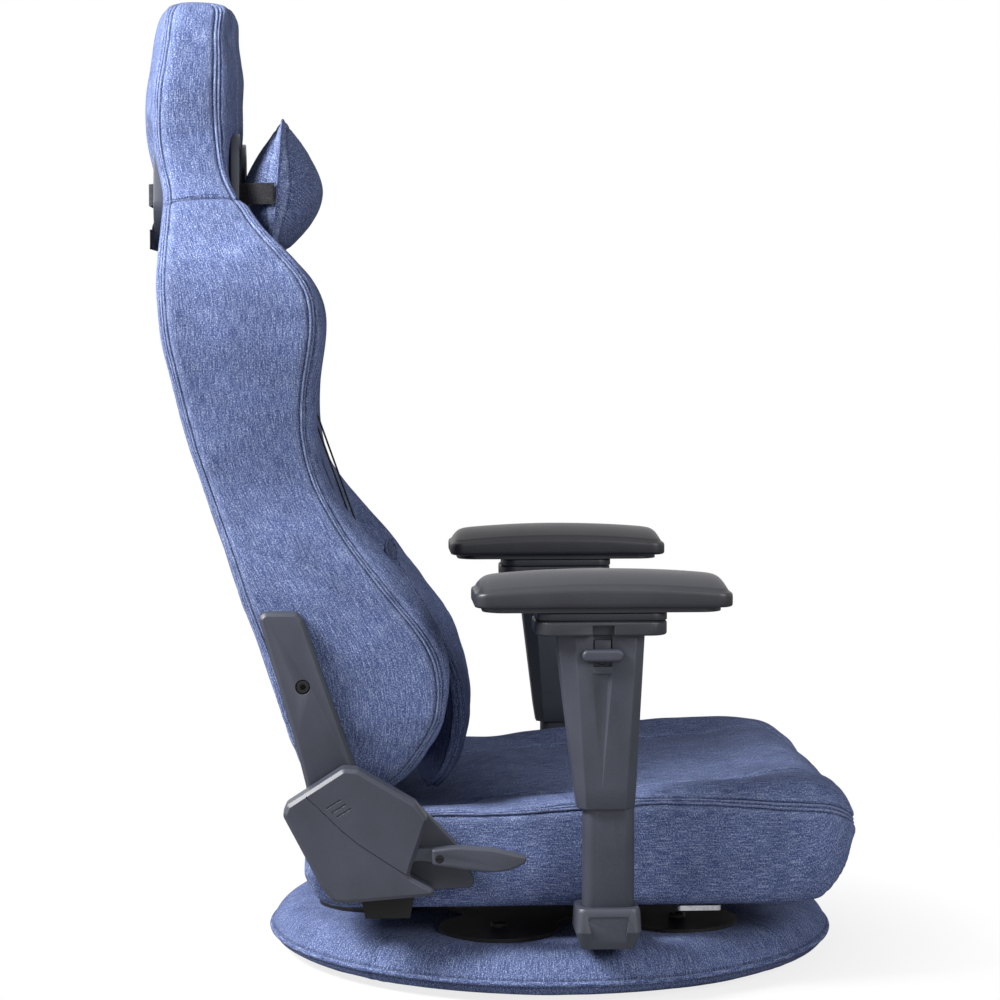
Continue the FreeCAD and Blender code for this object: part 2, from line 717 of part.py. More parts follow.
def recline_arm_plate():
    """Steel arm: round eye at the pivot with a toothed sector below, and a bar up the backrest."""
    bar = prism_y([(-250.0, 200.0), (-203.0, 200.0), (-249.0, 330.0), (-266.0, 376.0),
                   (-297.0, 376.0), (-266.5, 262.0)], -arm_outer, -arm_inner, 6.0)
    web = prism_y([polar(31.0, 200.0), polar(31.0, 20.0), (-203.0, 204.0), (-250.0, 204.0)],
                  -arm_outer, -arm_inner)
    eye = rod_y(pivot_x, pivot_z, sector_root, -arm_outer, -arm_inner)
    teeth = tooth_ring(sector_root, sector_tip, sector_from_deg, sector_to_deg, tooth_pitch_deg)
    inner = [polar(24.0, sector_to_deg), polar(24.0, (sector_from_deg + sector_to_deg) / 2),
             polar(24.0, sector_from_deg)]
    sector = prism_y(teeth + inner, -arm_outer, -arm_inner)
    arm = fused([eye, web, bar, sector])
    arm = arm.cut(rod_y(pivot_x, pivot_z, pivot_radius + running_clearance, -arm_outer - 1,
                        -arm_inner + 1))
    return arm.cut(rod_y(arm_bolt_x, arm_bolt_z, 4.2, -arm_outer - 1, -arm_inner + 1))


def recliner_parts():
    y_in = -fixed_plate_inner
    y_out = -fixed_plate_outer
    flange_top = rail_bottom
    flange_bottom = rail_bottom - strip_thickness
    body = prism_y([(-232.0, 109.0), (-130.0, 115.0), (-142.0, 150.0), (-160.0, 172.0),
                    (-186.0, 188.0), (-245.0, 188.0), (-254.0, 160.0)], y_in, y_out, 8.0)
    eye = rod_y(pivot_x, pivot_z, hinge_radius, y_out, y_in)
    foot = prism_y([(-202.0, flange_bottom), (-158.0, flange_bottom), (-150.0, 118.0),
                    (-210.0, 118.0)], y_in, y_out)
    flange = prism_z(rectangle(-202.0, -158.0, y_out, -frame_half_width + rail_size + 2.0),
                     flange_bottom, flange_top)
    plate = fused([body, eye, foot, flange])
    plate = plate.cut(rod_y(pivot_x, pivot_z, pivot_radius, y_out - 1, y_in + 1))
    plate = plate.cut(rod_y(lever_x, lever_z, lever_shaft_radius + running_clearance, y_out - 1,
                            y_in + 1))

    head_inner = -arm_outer - air
    bolt = fused([rod_y(pivot_x, pivot_z, pivot_radius, head_inner, y_in),
                  rod_y(pivot_x, pivot_z, 14.0, head_inner - 4.5, head_inner)])

    cover = side_shell(cover_outline, -side_cover_inner, -side_cover_outer, cover_wall, 4.0, 3.5)
    mouth = Part.makeBox(34.0, 15.0, 44.0, V(-168.0, -side_cover_outer + 4.5, 134.0))
    cover = cover.cut(mouth)
    depth = 0.9
    y_face = -side_cover_outer
    line = [(-259.9, 210.5), (-242.9, 193.9), (-225.9, 177.0), (-208.8, 162.8), (-183.6, 145.8),
            (-160.2, 130.6)]
    for (ax, az), (bx, bz) in zip(line, line[1:]):
        cover = cover.cut(slot_between(ax, az, bx, bz, 1.1, y_face, depth))
    for i in range(3):
        x = -240.2 + 5.1 * i
        z = 199.0 - 4.2 * i
        cover = cover.cut(slot_between(x, z, x + 13.7, z + 8.4, 1.5, y_face, depth))

    inner = side_shell(inner_outline, -arm_outer - 0.6, -side_cover_inner + air, cover_wall, 5.0,
                       1.0)
    wedge = prism_y([polar(0.0, 0.0), polar(140.0, 62.0), polar(190.0, 100.0),
                     polar(190.0, 140.0), polar(190.0, 180.0), polar(120.0, 222.0)],
                    -side_cover_inner - 5, -fixed_plate_outer)
    inner = inner.cut(wedge)
    inner = inner.cut(rod_y(pivot_x, pivot_z, 45.0, -side_cover_inner - 5, -fixed_plate_outer))
    inner = inner.cut(rod_y(lever_x, lever_z, lever_shaft_radius + 3.0, -side_cover_inner - 5,
                            -fixed_plate_outer))

    posts = [rod_y(x, z, 3.5, -side_cover_inner + 1.5, -fixed_plate_outer)
             for x, z in ((-148.0, 124.0), (-230.0, 114.5))]
    inner = fused([inner] + posts)

    arm = recline_arm_plate()
    shell = arm_cover()
    return {
        "recliner_plate": plate,
        "pivot_bolt": bolt,
        "side_cover": cover,
        "inner_cover": inner,
        "recline_arm": arm,
        "arm_cover": shell,
        "arm_bolt": arm_bolt(),
    }


def slot_between(ax, az, bx, bz, width, y_face, depth):
    """Shallow straight groove in a cover's outer face."""
    length = math.hypot(bx - ax, bz - az)
    ux, uz = (bx - ax) / length, (bz - az) / length
    nx, nz = -uz * width / 2, ux * width / 2
    corners = [(ax + nx, az + nz), (bx + nx, bz + nz), (bx - nx, bz - nz), (ax - nx, az - nz)]
    return prism_y(corners, y_face - 1, y_face + depth)


def arm_cover():
    """Plastic cover of the steel arm, with a wide bevel all round its outer face."""
    outline = [(-259.0, 190.0), (-196.0, 190.0), (-263.0, 381.0, 6.0), (-269.0, 387.0, 5.0),
               (-301.0, 387.5, 8.0), (-306.0, 381.5, 6.0), (-271.5, 262.0, 60.0),
               (-260.0, 215.0, 30.0)]
    block = prism_y(outline, -arm_cover_outer, -arm_cover_inner, 5.0)
    rim = [e for e in block.Edges if e.BoundBox.YMax < -arm_cover_outer + 0.01]
    block = block.makeChamfer(3.5, rim)
    block = block.cut(rod_y(pivot_x, pivot_z, 57.0, -arm_cover_outer - 1, -arm_cover_inner + 1))
    pocket = prism_y([(-250.5, 199.0), (-202.0, 199.0), (-248.4, 330.5), (-265.4, 377.0),
                      (-298.0, 377.0), (-267.0, 262.0)], -arm_outer - air, -arm_inner + air, 5.0)
    bolt_head = rod_y(arm_bolt_x, arm_bolt_z, 7.3, -arm_cover_outer - 1, -arm_outer)
    boss = rod_y(arm_bolt_x, arm_bolt_z, 9.3, -arm_inner - 0.5, -arm_cover_inner + 1)
    return block.cut(pocket).cut(boss).cut(bolt_head)


def arm_bolt():
    """Button head bolt with a hexagon socket, seated on the steel arm."""
    head = rod_y(arm_bolt_x, arm_bolt_z, 6.8, -arm_cover_outer + 0.4, -arm_outer)
    rim = [e for e in head.Edges if e.BoundBox.YMax < -arm_cover_outer + 0.5]
    head = head.makeFillet(1.5, rim)
    hexagon = [(arm_bolt_x + 3.2 * math.cos(math.radians(60 * i)),
                arm_bolt_z + 3.2 * math.sin(math.radians(60 * i))) for i in range(6)]
    socket = prism_y(hexagon, -arm_cover_outer - 1, -arm_cover_outer + 5.0)
    shank = rod_y(arm_bolt_x, arm_bolt_z, 4.0, -arm_outer, -seat_half_width + 28.0)
    return head.cut(socket).fuse(shank).removeSplitter()


def lever_parts():
    """Recline lever on the sitter's right, with its shaft, pawl and screw."""
    stem = prism_y([(-178.0, 157.0, 7.0), (-178.0, 142.0, 7.0), (-150.0, 145.5), (-128.0, 143.5),
                    (-128.0, 157.0), (-150.0, 157.5)], -side_cover_outer + 6.0,
                   -side_cover_outer + 18.0, 1.0)
    lever_face = -side_cover_outer - 4.0
    handle = prism_y([(-137.5, 157.8, 2.0), (-137.0, 142.5, 3.0), (-105.0, 137.5, 60.0),
                      (-76.0, 134.5, 24.0), (-61.0, 136.8, 16.0), (-45.5, 143.5, 4.0),
                      (-45.0, 150.0, 3.0), (-80.0, 158.0, 80.0), (-115.0, 160.3, 60.0)],
                     lever_face, lever_face + 17.0, 2.0)
    rim = [e for e in handle.Edges if abs(e.BoundBox.YMax - e.BoundBox.YMin) < 0.01]
    handle = handle.makeFillet(2.4, rim)
    lever = fused([stem, handle])
    lever = lever.cut(rod_y(lever_x, lever_z, lever_shaft_radius, lever_face + 12.0,
                            lever_face + 26.0))
    screw_y = lever_face
    seat = rod_y(-130.0, 148.5, 4.3, screw_y - 1, screw_y + 2.2)
    lever = lever.cut(seat)
    lever = lever.cut(rod_y(-130.0, 148.5, 2.2, screw_y, screw_y + 16.0))
    screw = fused([rod_y(-130.0, 148.5, 4.1, screw_y + 0.2, screw_y + 2.2),
                   rod_y(-130.0, 148.5, 2.0, screw_y + 2.0, screw_y + 15.5)])
    slot = prism_y(rectangle(-133.0, -127.0, 147.9, 149.1), screw_y - 1, screw_y + 1.0)
    screw = screw.cut(slot)

    inner_radius = sector_tip + pawl_gap
    count = int(round((pawl_to_deg - pawl_from_deg) / tooth_pitch_deg))
    nose = []
    for i in range(count):
        start = pawl_from_deg + i * tooth_pitch_deg
        nose.append(polar(inner_radius + 2.6, start))
        nose.append(polar(inner_radius, start + 0.5 * tooth_pitch_deg))
    nose.append(polar(inner_radius + 2.6, pawl_from_deg + count * tooth_pitch_deg))
    back = [polar(46.0, pawl_to_deg + 4.0), polar(54.0, pawl_to_deg),
            polar(51.0, (pawl_from_deg + pawl_to_deg) / 2), polar(49.0, pawl_from_deg)]
    pawl = prism_y(nose + back, -arm_outer, -arm_inner)
    hub = rod_y(lever_x, lever_z, 9.0, -arm_outer, -arm_inner)
    link = prism_y([(lever_x - 8.0, lever_z - 4.0), (lever_x + 8.5, lever_z - 3.0),
                    polar(54.0, pawl_to_deg), polar(42.0, pawl_to_deg)], -arm_outer, -arm_inner)
    shaft = rod_y(lever_x, lever_z, lever_shaft_radius, lever_face + 12.0, -fixed_plate_inner)
    pawl = fused([pawl, hub, link, shaft])
    return {"recline_lever": lever, "lever_screw": screw, "recline_pawl": pawl}


def return_spring():
    """Flat spiral spring round the left pivot, made of half-turn arcs that step outwards."""
    y0 = arm_outer + air
    height = 7.0
    inner = 17.0
    half_turns = 2 * spring_turns
    step = spring_pitch / 2

    def arcs(offset):
        edges = []
        x = pivot_x - inner - offset
        for i in range(half_turns):
            r = inner + offset + step * (i + 0.5)
            sign = 1 if i % 2 == 0 else -1
            x_end = x + sign * 2 * r
            middle = V((x + x_end) / 2, y0, pivot_z + sign * r)
            edges.append(arc(V(x, y0, pivot_z), middle, V(x_end, y0, pivot_z)))
            x = x_end
        return edges, x

    inside, x_in = arcs(0.0)
    outside, x_out = arcs(spring_strip)
    start = Part.makeLine(V(pivot_x - inner, y0, pivot_z),
                          V(pivot_x - inner - spring_strip, y0, pivot_z))
    end = Part.makeLine(V(x_in, y0, pivot_z), V(x_out, y0, pivot_z))
    wire = Part.Wire(Part.__sortEdges__(inside + outside + [start, end]))
    return Part.Face(wire).extrude(V(0, height, 0))


# Backrest

# Stations from bottom to top: z, rear corner, rear centre, front seam, bolster crest,
# panel edge, panel centre, half width, crest inset and panel half width
back_stations = [
    (205.0, -254.0, -259.0, -184.0, -174.0, -166.0, -164.0, 232.0, 34.0, 150.0),
    (222.0, -262.0, -267.0, -164.0, -153.0, -162.0, -160.0, 240.0, 34.0, 152.0),
    (245.0, -271.0, -277.0, -147.0, -136.0, -157.0, -155.0, 245.0, 34.0, 154.0),
    (275.0, -281.0, -288.0, -131.0, -121.5, -154.0, -152.0, 248.0, 34.0, 155.0),
    (310.0, -293.0, -300.0, -127.0, -116.0, -161.0, -159.0, 248.0, 34.0, 156.0),
    (345.0, -305.0, -312.0, -136.0, -120.0, -179.0, -177.0, 248.0, 34.0, 156.0),
    (385.0, -320.0, -327.0, -164.0, -138.0, -198.0, -196.0, 247.0, 34.0, 154.0),
    (430.0, -335.0, -342.0, -200.0, -170.0, -212.0, -210.0, 244.0, 34.0, 150.0),
    (475.0, -350.0, -357.0, -230.0, -208.0, -227.0, -225.0, 240.0, 34.0, 146.0),
    (515.0, -364.0, -370.0, -250.0, -234.0, -242.0, -240.0, 239.0, 34.0, 142.0),
    (560.0, -378.0, -384.0, -260.0, -246.0, -259.0, -257.0, 242.0, 34.0, 140.0),
    (610.0, -390.0, -396.0, -259.0, -245.0, -276.0, -274.0, 248.0, 34.0, 138.0),
    (660.0, -400.0, -406.0, -252.0, -240.0, -292.0, -290.0, 254.0, 34.0, 136.0),
    (700.0, -403.0, -410.0, -256.0, -246.0, -305.0, -303.0, 253.0, 34.0, 132.0),
    (735.0, -403.0, -411.0, -280.0, -271.0, -317.0, -315.0, 241.0, 32.0, 124.0),
    (762.0, -402.0, -411.0, -303.0, -297.0, -325.0, -324.0, 217.0, 28.0, 112.0),
    (785.0, -401.0, -412.0, -320.0, -316.0, -331.0, -330.5, 188.0, 24.0, 98.0),
    (805.0, -402.0, -414.0, -333.0, -331.0, -334.0, -333.5, 165.0, 20.0, 84.0),
    (828.0, -408.0, -419.0, -342.0, -337.0, -335.0, -334.0, 152.0, 20.0, 76.0),
    (858.0, -413.0, -426.0, -346.0, -337.0, -332.0, -330.0, 147.0, 20.0, 74.0),
    (900.0, -412.0, -427.0, -348.0, -337.0, -331.0, -329.0, 146.0, 20.0, 74.0),
    (938.0, -408.0, -425.0, -347.0, -337.0, -331.0, -329.0, 143.0, 20.0, 72.0),
    (966.0, -403.0, -420.0, -347.0, -339.0, -334.0, -332.0, 136.0, 20.0, 68.0),
    (986.0, -397.0, -411.0, -350.0, -344.0, -341.0, -340.0, 122.0, 20.0, 58.0),
    (998.0, -389.0, -400.0, -357.0, -353.0, -351.0, -350.0, 101.0, 18.0, 46.0),
    (1005.0, -380.0, -387.0, -366.0, -364.0, -363.0, -362.6, 76.0, 14.0, 34.0),
]


def back_section(z, rear, rear_centre, seam, crest, panel, panel_centre, half, inset, panel_half):
    """Level section of the backrest: rounded rear, side panels, two bolsters, middle panel."""
    def at(x, y):
        return V(x, y, z)
    # the shoulders and hips follow the seat's width, the headrest keeps its own
    half += (seat_half_width - 250.0) * min(1.0, max(0.0, (800.0 - z) / 60.0))
    corner = min(14.0, (seam - rear) / 4)
    crest_y = half - inset
    bulge = 0.3
    left = [
        arc(at(rear, half - corner), at(rear + corner * bulge, half - corner * bulge),
            at(rear + corner, half)),
        arc(at(rear + corner, half), at((rear + seam) / 2, half + 1.5), at(seam, half - 3.0)),
        arc(at(seam, half - 3.0), at(seam + 0.72 * (crest - seam), half - 0.42 * inset),
            at(crest, crest_y)),
        arc(at(crest, crest_y), at(crest + 0.42 * (panel - crest) + 1.0,
                                   crest_y + 0.5 * (panel_half - crest_y)),
            at(panel, panel_half)),
    ]
    edges = [arc(at(rear, -half + corner), at(rear_centre, 0), at(rear, half - corner))]
    edges += left
    edges.append(arc(at(panel, panel_half), at(panel_centre, 0), at(panel, -panel_half)))
    for e in reversed(left):
        a = e.valueAt(e.FirstParameter)
        m = e.valueAt((e.FirstParameter + e.LastParameter) / 2)
        b = e.valueAt(e.LastParameter)
        edges.append(arc(V(b.x, -b.y, b.z), V(m.x, -m.y, m.z), V(a.x, -a.y, a.z)))
    return Part.Wire(edges)


def belt_hole_outline(grow, x):
    """Slanted rounded opening beside the neck, on the right-hand side."""
    half_w = hole_width / 2 + grow
    half_h = hole_height / 2 + grow
    turn = math.radians(-hole_slant_deg)
    points = []
    for u, v in ((-half_w, -half_h), (half_w, -half_h), (half_w, half_h), (-half_w, half_h)):
        points.append((-hole_centre_y + u * math.cos(turn) - v * math.sin(turn),
                       hole_centre_z + u * math.sin(turn) + v * math.cos(turn)))
    return rounded_wire(points, 17.0 + grow, on_yz(x))


def belt_prism(grow, x0, x1):
    return Part.Face(belt_hole_outline(grow, x0)).extrude(V(x1 - x0, 0, 0))


def belt_bezel_envelope():
    return fused([belt_prism(bezel_wall, bezel_rear, bezel_front),
                  belt_prism(bezel_flange, bezel_front - 9.0, bezel_front),
                  belt_prism(bezel_flange, bezel_rear, bezel_rear + 18.0)])


def back_frame():
    """Bent tube frame inside the foam, with a boss on each side for the arm bolt."""
    y = seat_half_width - 54.0
    path = [V(-232.0, y, 226.0), V(arm_bolt_x, y, arm_bolt_z), V(-305.0, y, 440.0),
            V(-350.0, y, 590.0), V(-366.0, y, 690.0)]
    neck_y = 52.0
    neck = [V(-366.0, neck_y, 690.0), V(-372.0, neck_y, 780.0), V(-380.0, neck_y, 930.0)]
    solids = []
    for side in (1, -1):
        for run in (path, neck):
            points = [V(p.x, side * p.y, p.z) for p in run]
            for a, b in zip(points, points[1:]):
                solids.append(rod_between(a, b, frame_tube_radius))
            for p in points:
                solids.append(Part.makeSphere(frame_tube_radius, p))
    for p in (path[0], path[2], path[4], neck[2]):
        solids.append(rod_between(V(p.x, -p.y, p.z), p, frame_tube_radius))
    frame = fused(solids)
    bosses = []
    for side in (1, -1):
        bosses.append(rod_y(arm_bolt_x, arm_bolt_z, 9.0, side * y, side * arm_inner))
        bosses.append(rod_y(arm_bolt_x, arm_bolt_z, 9.0, side * y, side * (y - 16.0)))
    frame = frame.multiFuse(bosses)
    for side in (1, -1):
        frame = frame.cut(rod_y(arm_bolt_x, arm_bolt_z, 4.2, side * (y + 25.0), side * (arm_inner + 1)))
    return frame


def backrest_parts():
    cushion = Part.makeLoft([back_section(*s) for s in back_stations], True, False)
    envelope = belt_bezel_envelope()
    bezel = envelope.cut(belt_prism(0.0, bezel_rear - 1, bezel_front + 1))
    frame = back_frame()
    bosses = group([rod_y(arm_bolt_x, arm_bolt_z, 9.3, side * (seat_half_width - 70.0),
                          side * (seat_half_width + 10.0))
                    for side in (1, -1)])
    front_room = belt_prism(bezel_flange, bezel_front - 9.0, bezel_front + 30.0)
    rear_room = belt_prism(bezel_flange, bezel_rear - 30.0, bezel_rear + 18.0)
    room = fused([envelope, front_room, rear_room])
    cushion = cushion.cut(room).cut(mirrored(room)).cut(frame).cut(bosses)
    # the foam is glued up from two blocks that meet below the belt holes
    reach = 600.0
    top_block = Part.makeBox(2 * reach, 2 * reach, reach, V(-reach, -reach, headrest_bottom))
    return {
        "back_cushion": cushion.cut(top_block),
        "headrest_cushion": cushion.common(top_block),
        "back_frame": frame,
        "belt_bezels": group([bezel, mirrored(bezel)]),
        "lumbar_straps": lumbar_straps(),
    }


# Straps, pillow and lumbar cushion

def ribbon(points, radius, thickness, place, extrusion):
    """Band of even thickness along a bent path, extruded across its width."""
    left = []
    right = []
    for i, p in enumerate(points):
        before = points[i - 1] if i else p
        after = points[i + 1] if i + 1 < len(points) else p
        normals = []
        for a, b in ((before, p), (p, after)):
            length = math.hypot(b[0] - a[0], b[1] - a[1])
            if length > 1e-6:
                normals.append(((a[1] - b[1]) / length, (b[0] - a[0]) / length))
        nx = sum(n[0] for n in normals) / len(normals)
        ny = sum(n[1] for n in normals) / len(normals)
        scale = thickness / 2 / (nx * nx + ny * ny)
        bend = 0.0 if i in (0, len(points) - 1) else radius
        left.append((p[0] + nx * scale, p[1] + ny * scale, bend))
        right.append((p[0] - nx * scale, p[1] - ny * scale, bend))
    face = Part.Face(rounded_wire(left + right[::-1], 0.0, place))
    return face.extrude(extrusion)


def pillow_strap():
    """Elastic band from both ends of the pillow, through the belt holes, round the neck."""
    end = -pillow_half_width - 1.3
    half = [(-291.0, end), (-302.0, end + 1.2), (-312.0, end + 9.0), (-321.0, end + 24.0),
            (-345.0, end + 30.8), (-409.0, end + 32.3), (-421.0, end + 44.3)]
    points = half + [(x, -y) for x, y in reversed(half)]
    return ribbon(points, 6.0, strap_thickness, on_xy(pillow_strap_bottom),
                  V(0, 0, pillow_strap_width))


def pillow_section(y, half, thick_rear, thick_front):
    """Lens-shaped section across the pillow at a given y."""
    centre_z = (pillow_top + pillow_bottom) / 2
    height = (pillow_top - pillow_bottom) / 2 * half
    x_top = -287.0
    x_bottom = -295.0
    x_mid = (x_top + x_bottom) / 2
    lean = (x_top - x_bottom) / 2 * half

    def at(x, z):
        return V(x, y, z)
    peak = at(x_mid + lean, centre_z + height)
    low = at(x_mid - lean, centre_z - height)
    rear = arc(peak, at(x_mid - thick_rear, centre_z), low)
    front = arc(low, at(x_mid + thick_front, centre_z), peak)
    return Part.Wire([rear, front])


def head_pillow():
    stations = [(-1.0, 0.60, 3.0, 3.5), (-0.985, 0.74, 8.0, 10.0), (-0.93, 0.86, 15.0, 22.0),
                (-0.8, 0.94, 26.0, 33.0), (-0.5, 0.985, 35.0, 43.0), (0.0, 1.0, 38.0, 47.0)]
    stations += [(-s, h, r, f) for s, h, r, f in reversed(stations[:-1])]
    wires = [pillow_section(s * pillow_half_width, h, r, f) for s, h, r, f in stations]
    return Part.makeLoft(wires, True, False)


# Lumbar cushion stations from bottom to top: z, half width, rear and front edge of its gusset,
# front centre and rear centre
lumbar_stations = [
    (190.0, 118.0, -136.0, -127.0, -121.0, -142.0),
    (196.0, 130.0, -131.0, -121.0, -110.0, -147.0),
    (210.0, 138.0, -122.0, -112.0, -99.0, -151.0),
    (235.0, 140.0, -114.0, -103.0, -92.0, -150.5),
    (270.0, 141.0, -110.0, -100.0, -88.0, -150.1),
    (300.0, 141.0, -113.0, -103.0, -90.5, -154.2),
    (328.0, 141.0, -123.0, -114.0, -98.0, -162.0),
    (355.0, 141.0, -136.0, -126.0, -109.0, -176.0),
    (380.0, 140.0, -149.0, -140.0, -127.0, -183.0),
    (402.0, 139.0, -161.0, -153.0, -142.0, -186.0),
    (417.0, 134.0, -169.0, -162.0, -155.0, -183.0),
    (425.0, 124.0, -173.0, -168.0, -165.0, -177.0),
]


def lumbar_section(z, half, rear, front, front_centre, rear_centre):
    """Level section of the lumbar cushion: two bowed faces joined by a narrow gusset."""
    def at(x, y):
        return V(x, y, z)
    back = arc(at(rear, -half), at(rear_centre, 0), at(rear, half))
    face = arc(at(front, half), at(front_centre, 0), at(front, -half))
    left = Part.makeLine(at(rear, half), at(front, half))
    right = Part.makeLine(at(front, -half), at(rear, -half))
    return Part.Wire([back, left, face, right])


def lumbar_cushion():
    return Part.makeLoft([lumbar_section(*s) for s in lumbar_stations], True, False)


def lumbar_straps():
    """Elastic strap: two taut bands through the belt holes, joined behind the backrest."""
    centre = -hole_centre_y - 5.0
    half = lumbar_strap_width / 2
    lip = hole_centre_z - hole_height / 2 + 5.6
    rear = bezel_rear - 2.5
    points = [(-189.3, 395.0), (-324.3, lip), (rear, lip), (rear, 745.0)]
    band = ribbon(points, 5.0, strap_thickness, on_xz(centre - half),
                  V(0, lumbar_strap_width, 0))
    joint = prism_z(rectangle(rear - strap_thickness / 2, rear + strap_thickness / 2,
                              centre - half, -centre + half), 745.0, 745.0 + lumbar_strap_width)
    return fused([band, mirrored(band), joint])


# The pieces that stay below the swivelling chair; the others are drawn round the height of the
# seat frame's rails and rise with the top of the turntable
floor_pieces = ("non_slip_sheet", "base_board", "base_pad", "base_piping", "turntable_lower_plate",
                "turntable_bolts", "bearing_lower_race", "bearing_balls", "kingpin", "king_nut",
                "bearing_upper_race", "turntable_upper_plate")


def build():
    parts = {}
    parts.update(base_parts())
    parts.update(turntable_parts())
    parts.update(seat_frame_parts())
    parts["seat_cushion"] = seat_cushion()
    parts.update(backrest_parts())
    right = armrest_parts()
    right.update(recliner_parts())
    for single in ("pivot_bolt", "arm_bolt"):
        shape = right.pop(single)
        parts[single + "s"] = group([shape, mirrored(shape)])
    for name, shape in right.items():
        parts[name + "_right"] = shape
        parts[name + "_left"] = mirrored(shape)
    parts.update(lever_parts())
    parts["return_spring"] = return_spring()
    parts["head_pillow"] = head_pillow()
    parts["pillow_strap"] = pillow_strap()
    parts["lumbar_cushion"] = lumbar_cushion()
    for name in parts:
        if name not in floor_pieces:
            parts[name].translate(V(0, 0, chair_rise))
    return parts


os.makedirs("parts", exist_ok=True)
for name, shape in build().items():
    shape.exportStep("parts/" + name + ".step")
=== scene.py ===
import json
import math

import bmesh
import bpy
import numpy as np
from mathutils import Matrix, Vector


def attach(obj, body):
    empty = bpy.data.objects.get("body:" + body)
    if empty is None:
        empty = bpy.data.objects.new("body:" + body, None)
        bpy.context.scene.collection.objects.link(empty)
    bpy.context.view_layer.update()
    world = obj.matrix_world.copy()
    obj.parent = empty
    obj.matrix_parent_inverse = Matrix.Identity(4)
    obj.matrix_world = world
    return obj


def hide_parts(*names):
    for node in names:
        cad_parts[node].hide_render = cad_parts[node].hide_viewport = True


# Floor gaming chair in heathered blue denim with charcoal plastic and black steel.
# Lengths in the tables are millimetres in the chair's frame; meshes are in metres.

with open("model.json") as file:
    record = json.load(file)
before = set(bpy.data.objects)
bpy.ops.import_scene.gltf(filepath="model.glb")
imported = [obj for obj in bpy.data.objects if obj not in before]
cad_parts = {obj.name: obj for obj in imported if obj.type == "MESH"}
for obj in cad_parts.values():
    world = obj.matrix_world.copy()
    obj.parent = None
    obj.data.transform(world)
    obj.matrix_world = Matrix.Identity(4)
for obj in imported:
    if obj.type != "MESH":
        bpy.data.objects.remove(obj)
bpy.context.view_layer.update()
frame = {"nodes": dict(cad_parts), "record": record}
MM = 0.001


# Materials

def configure(thing, **values):
    for key, value in values.items():
        setattr(thing, key, value)


def feed(tree, shader, inputs):
    """Links each input of a node whose value is a socket, and sets the others."""
    for key, value in inputs.items():
        if isinstance(value, bpy.types.NodeSocket):
            tree.links.new(value, shader.inputs[key])
        else:
            shader.inputs[key].default_value = value


def node(tree, kind, inputs, **settings):
    """Adds a shader node and returns its outputs."""
    made = tree.nodes.new(kind)
    configure(made, **settings)
    feed(tree, made, inputs)
    return made.outputs


def shader_group(name, **inputs):
    """Shader node group that gives colour, roughness and height; inputs are values by name."""
    group = bpy.data.node_groups.new(name, "ShaderNodeTree")
    group.interface.new_socket("Vector", in_out="INPUT", socket_type="NodeSocketVector")
    for label, value in inputs.items():
        kind = "NodeSocketColor" if isinstance(value, tuple) else "NodeSocketFloat"
        socket = group.interface.new_socket(label, in_out="INPUT", socket_type=kind)
        socket.default_value = value
    for label, kind in (("Color", "NodeSocketColor"), ("Roughness", "NodeSocketFloat"),
                        ("Height", "NodeSocketFloat")):
        group.interface.new_socket(label, in_out="OUTPUT", socket_type=kind)
    return group, list(node(group, "NodeGroupInput", {}))[:-1]


def ramp(factor, low, high):
    """Colour ramp between two stops, each of them (place, grey level)."""
    made = factor.id_data.nodes.new("ShaderNodeValToRGB")
    feed(factor.id_data, made, {0: factor})
    for element, (place, grey) in zip(made.color_ramp.elements, (low, high)):
        configure(element, position=place, color=(grey, grey, grey, 1.0))
    return made.outputs[0]


def blended(factor, first, second, how="MIX"):
    """Colour mix of two sources; factor is a socket or a number."""
    return node(first.id_data, "ShaderNodeMix", {0: factor, 6: first, 7: second},
                data_type="RGBA", blend_type=how)[2]


def noise(place, scale, detail, roughness):
    return node(place.id_data, "ShaderNodeTexNoise", {
        "Vector": place, "Scale": scale, "Detail": detail, "Roughness": roughness})["Fac"]


def yarn_noise(place, across, along, detail=2.0):
    """Noise drawn out along one yarn direction: so many cells per metre across and along it."""
    stretched = node(place.id_data, "ShaderNodeMapping", {"Vector": place,
                                                          "Scale": (across, along, 300.0)})
    return noise(stretched[0], 1.0, detail, 0.65)


def combined(first, second, how="ADD"):
    return node(first.id_data, "ShaderNodeMath", {0: first, 1: second}, operation=how)[0]


def ranged(value, low, high, to_low=0.0, to_high=1.0):
    """Value mapped from low..high to to_low..to_high, held at both ends."""
    return node(value.id_data, "ShaderNodeMapRange", {
        0: value, "From Min": low, "From Max": high, "To Min": to_low, "To Max": to_high})[0]


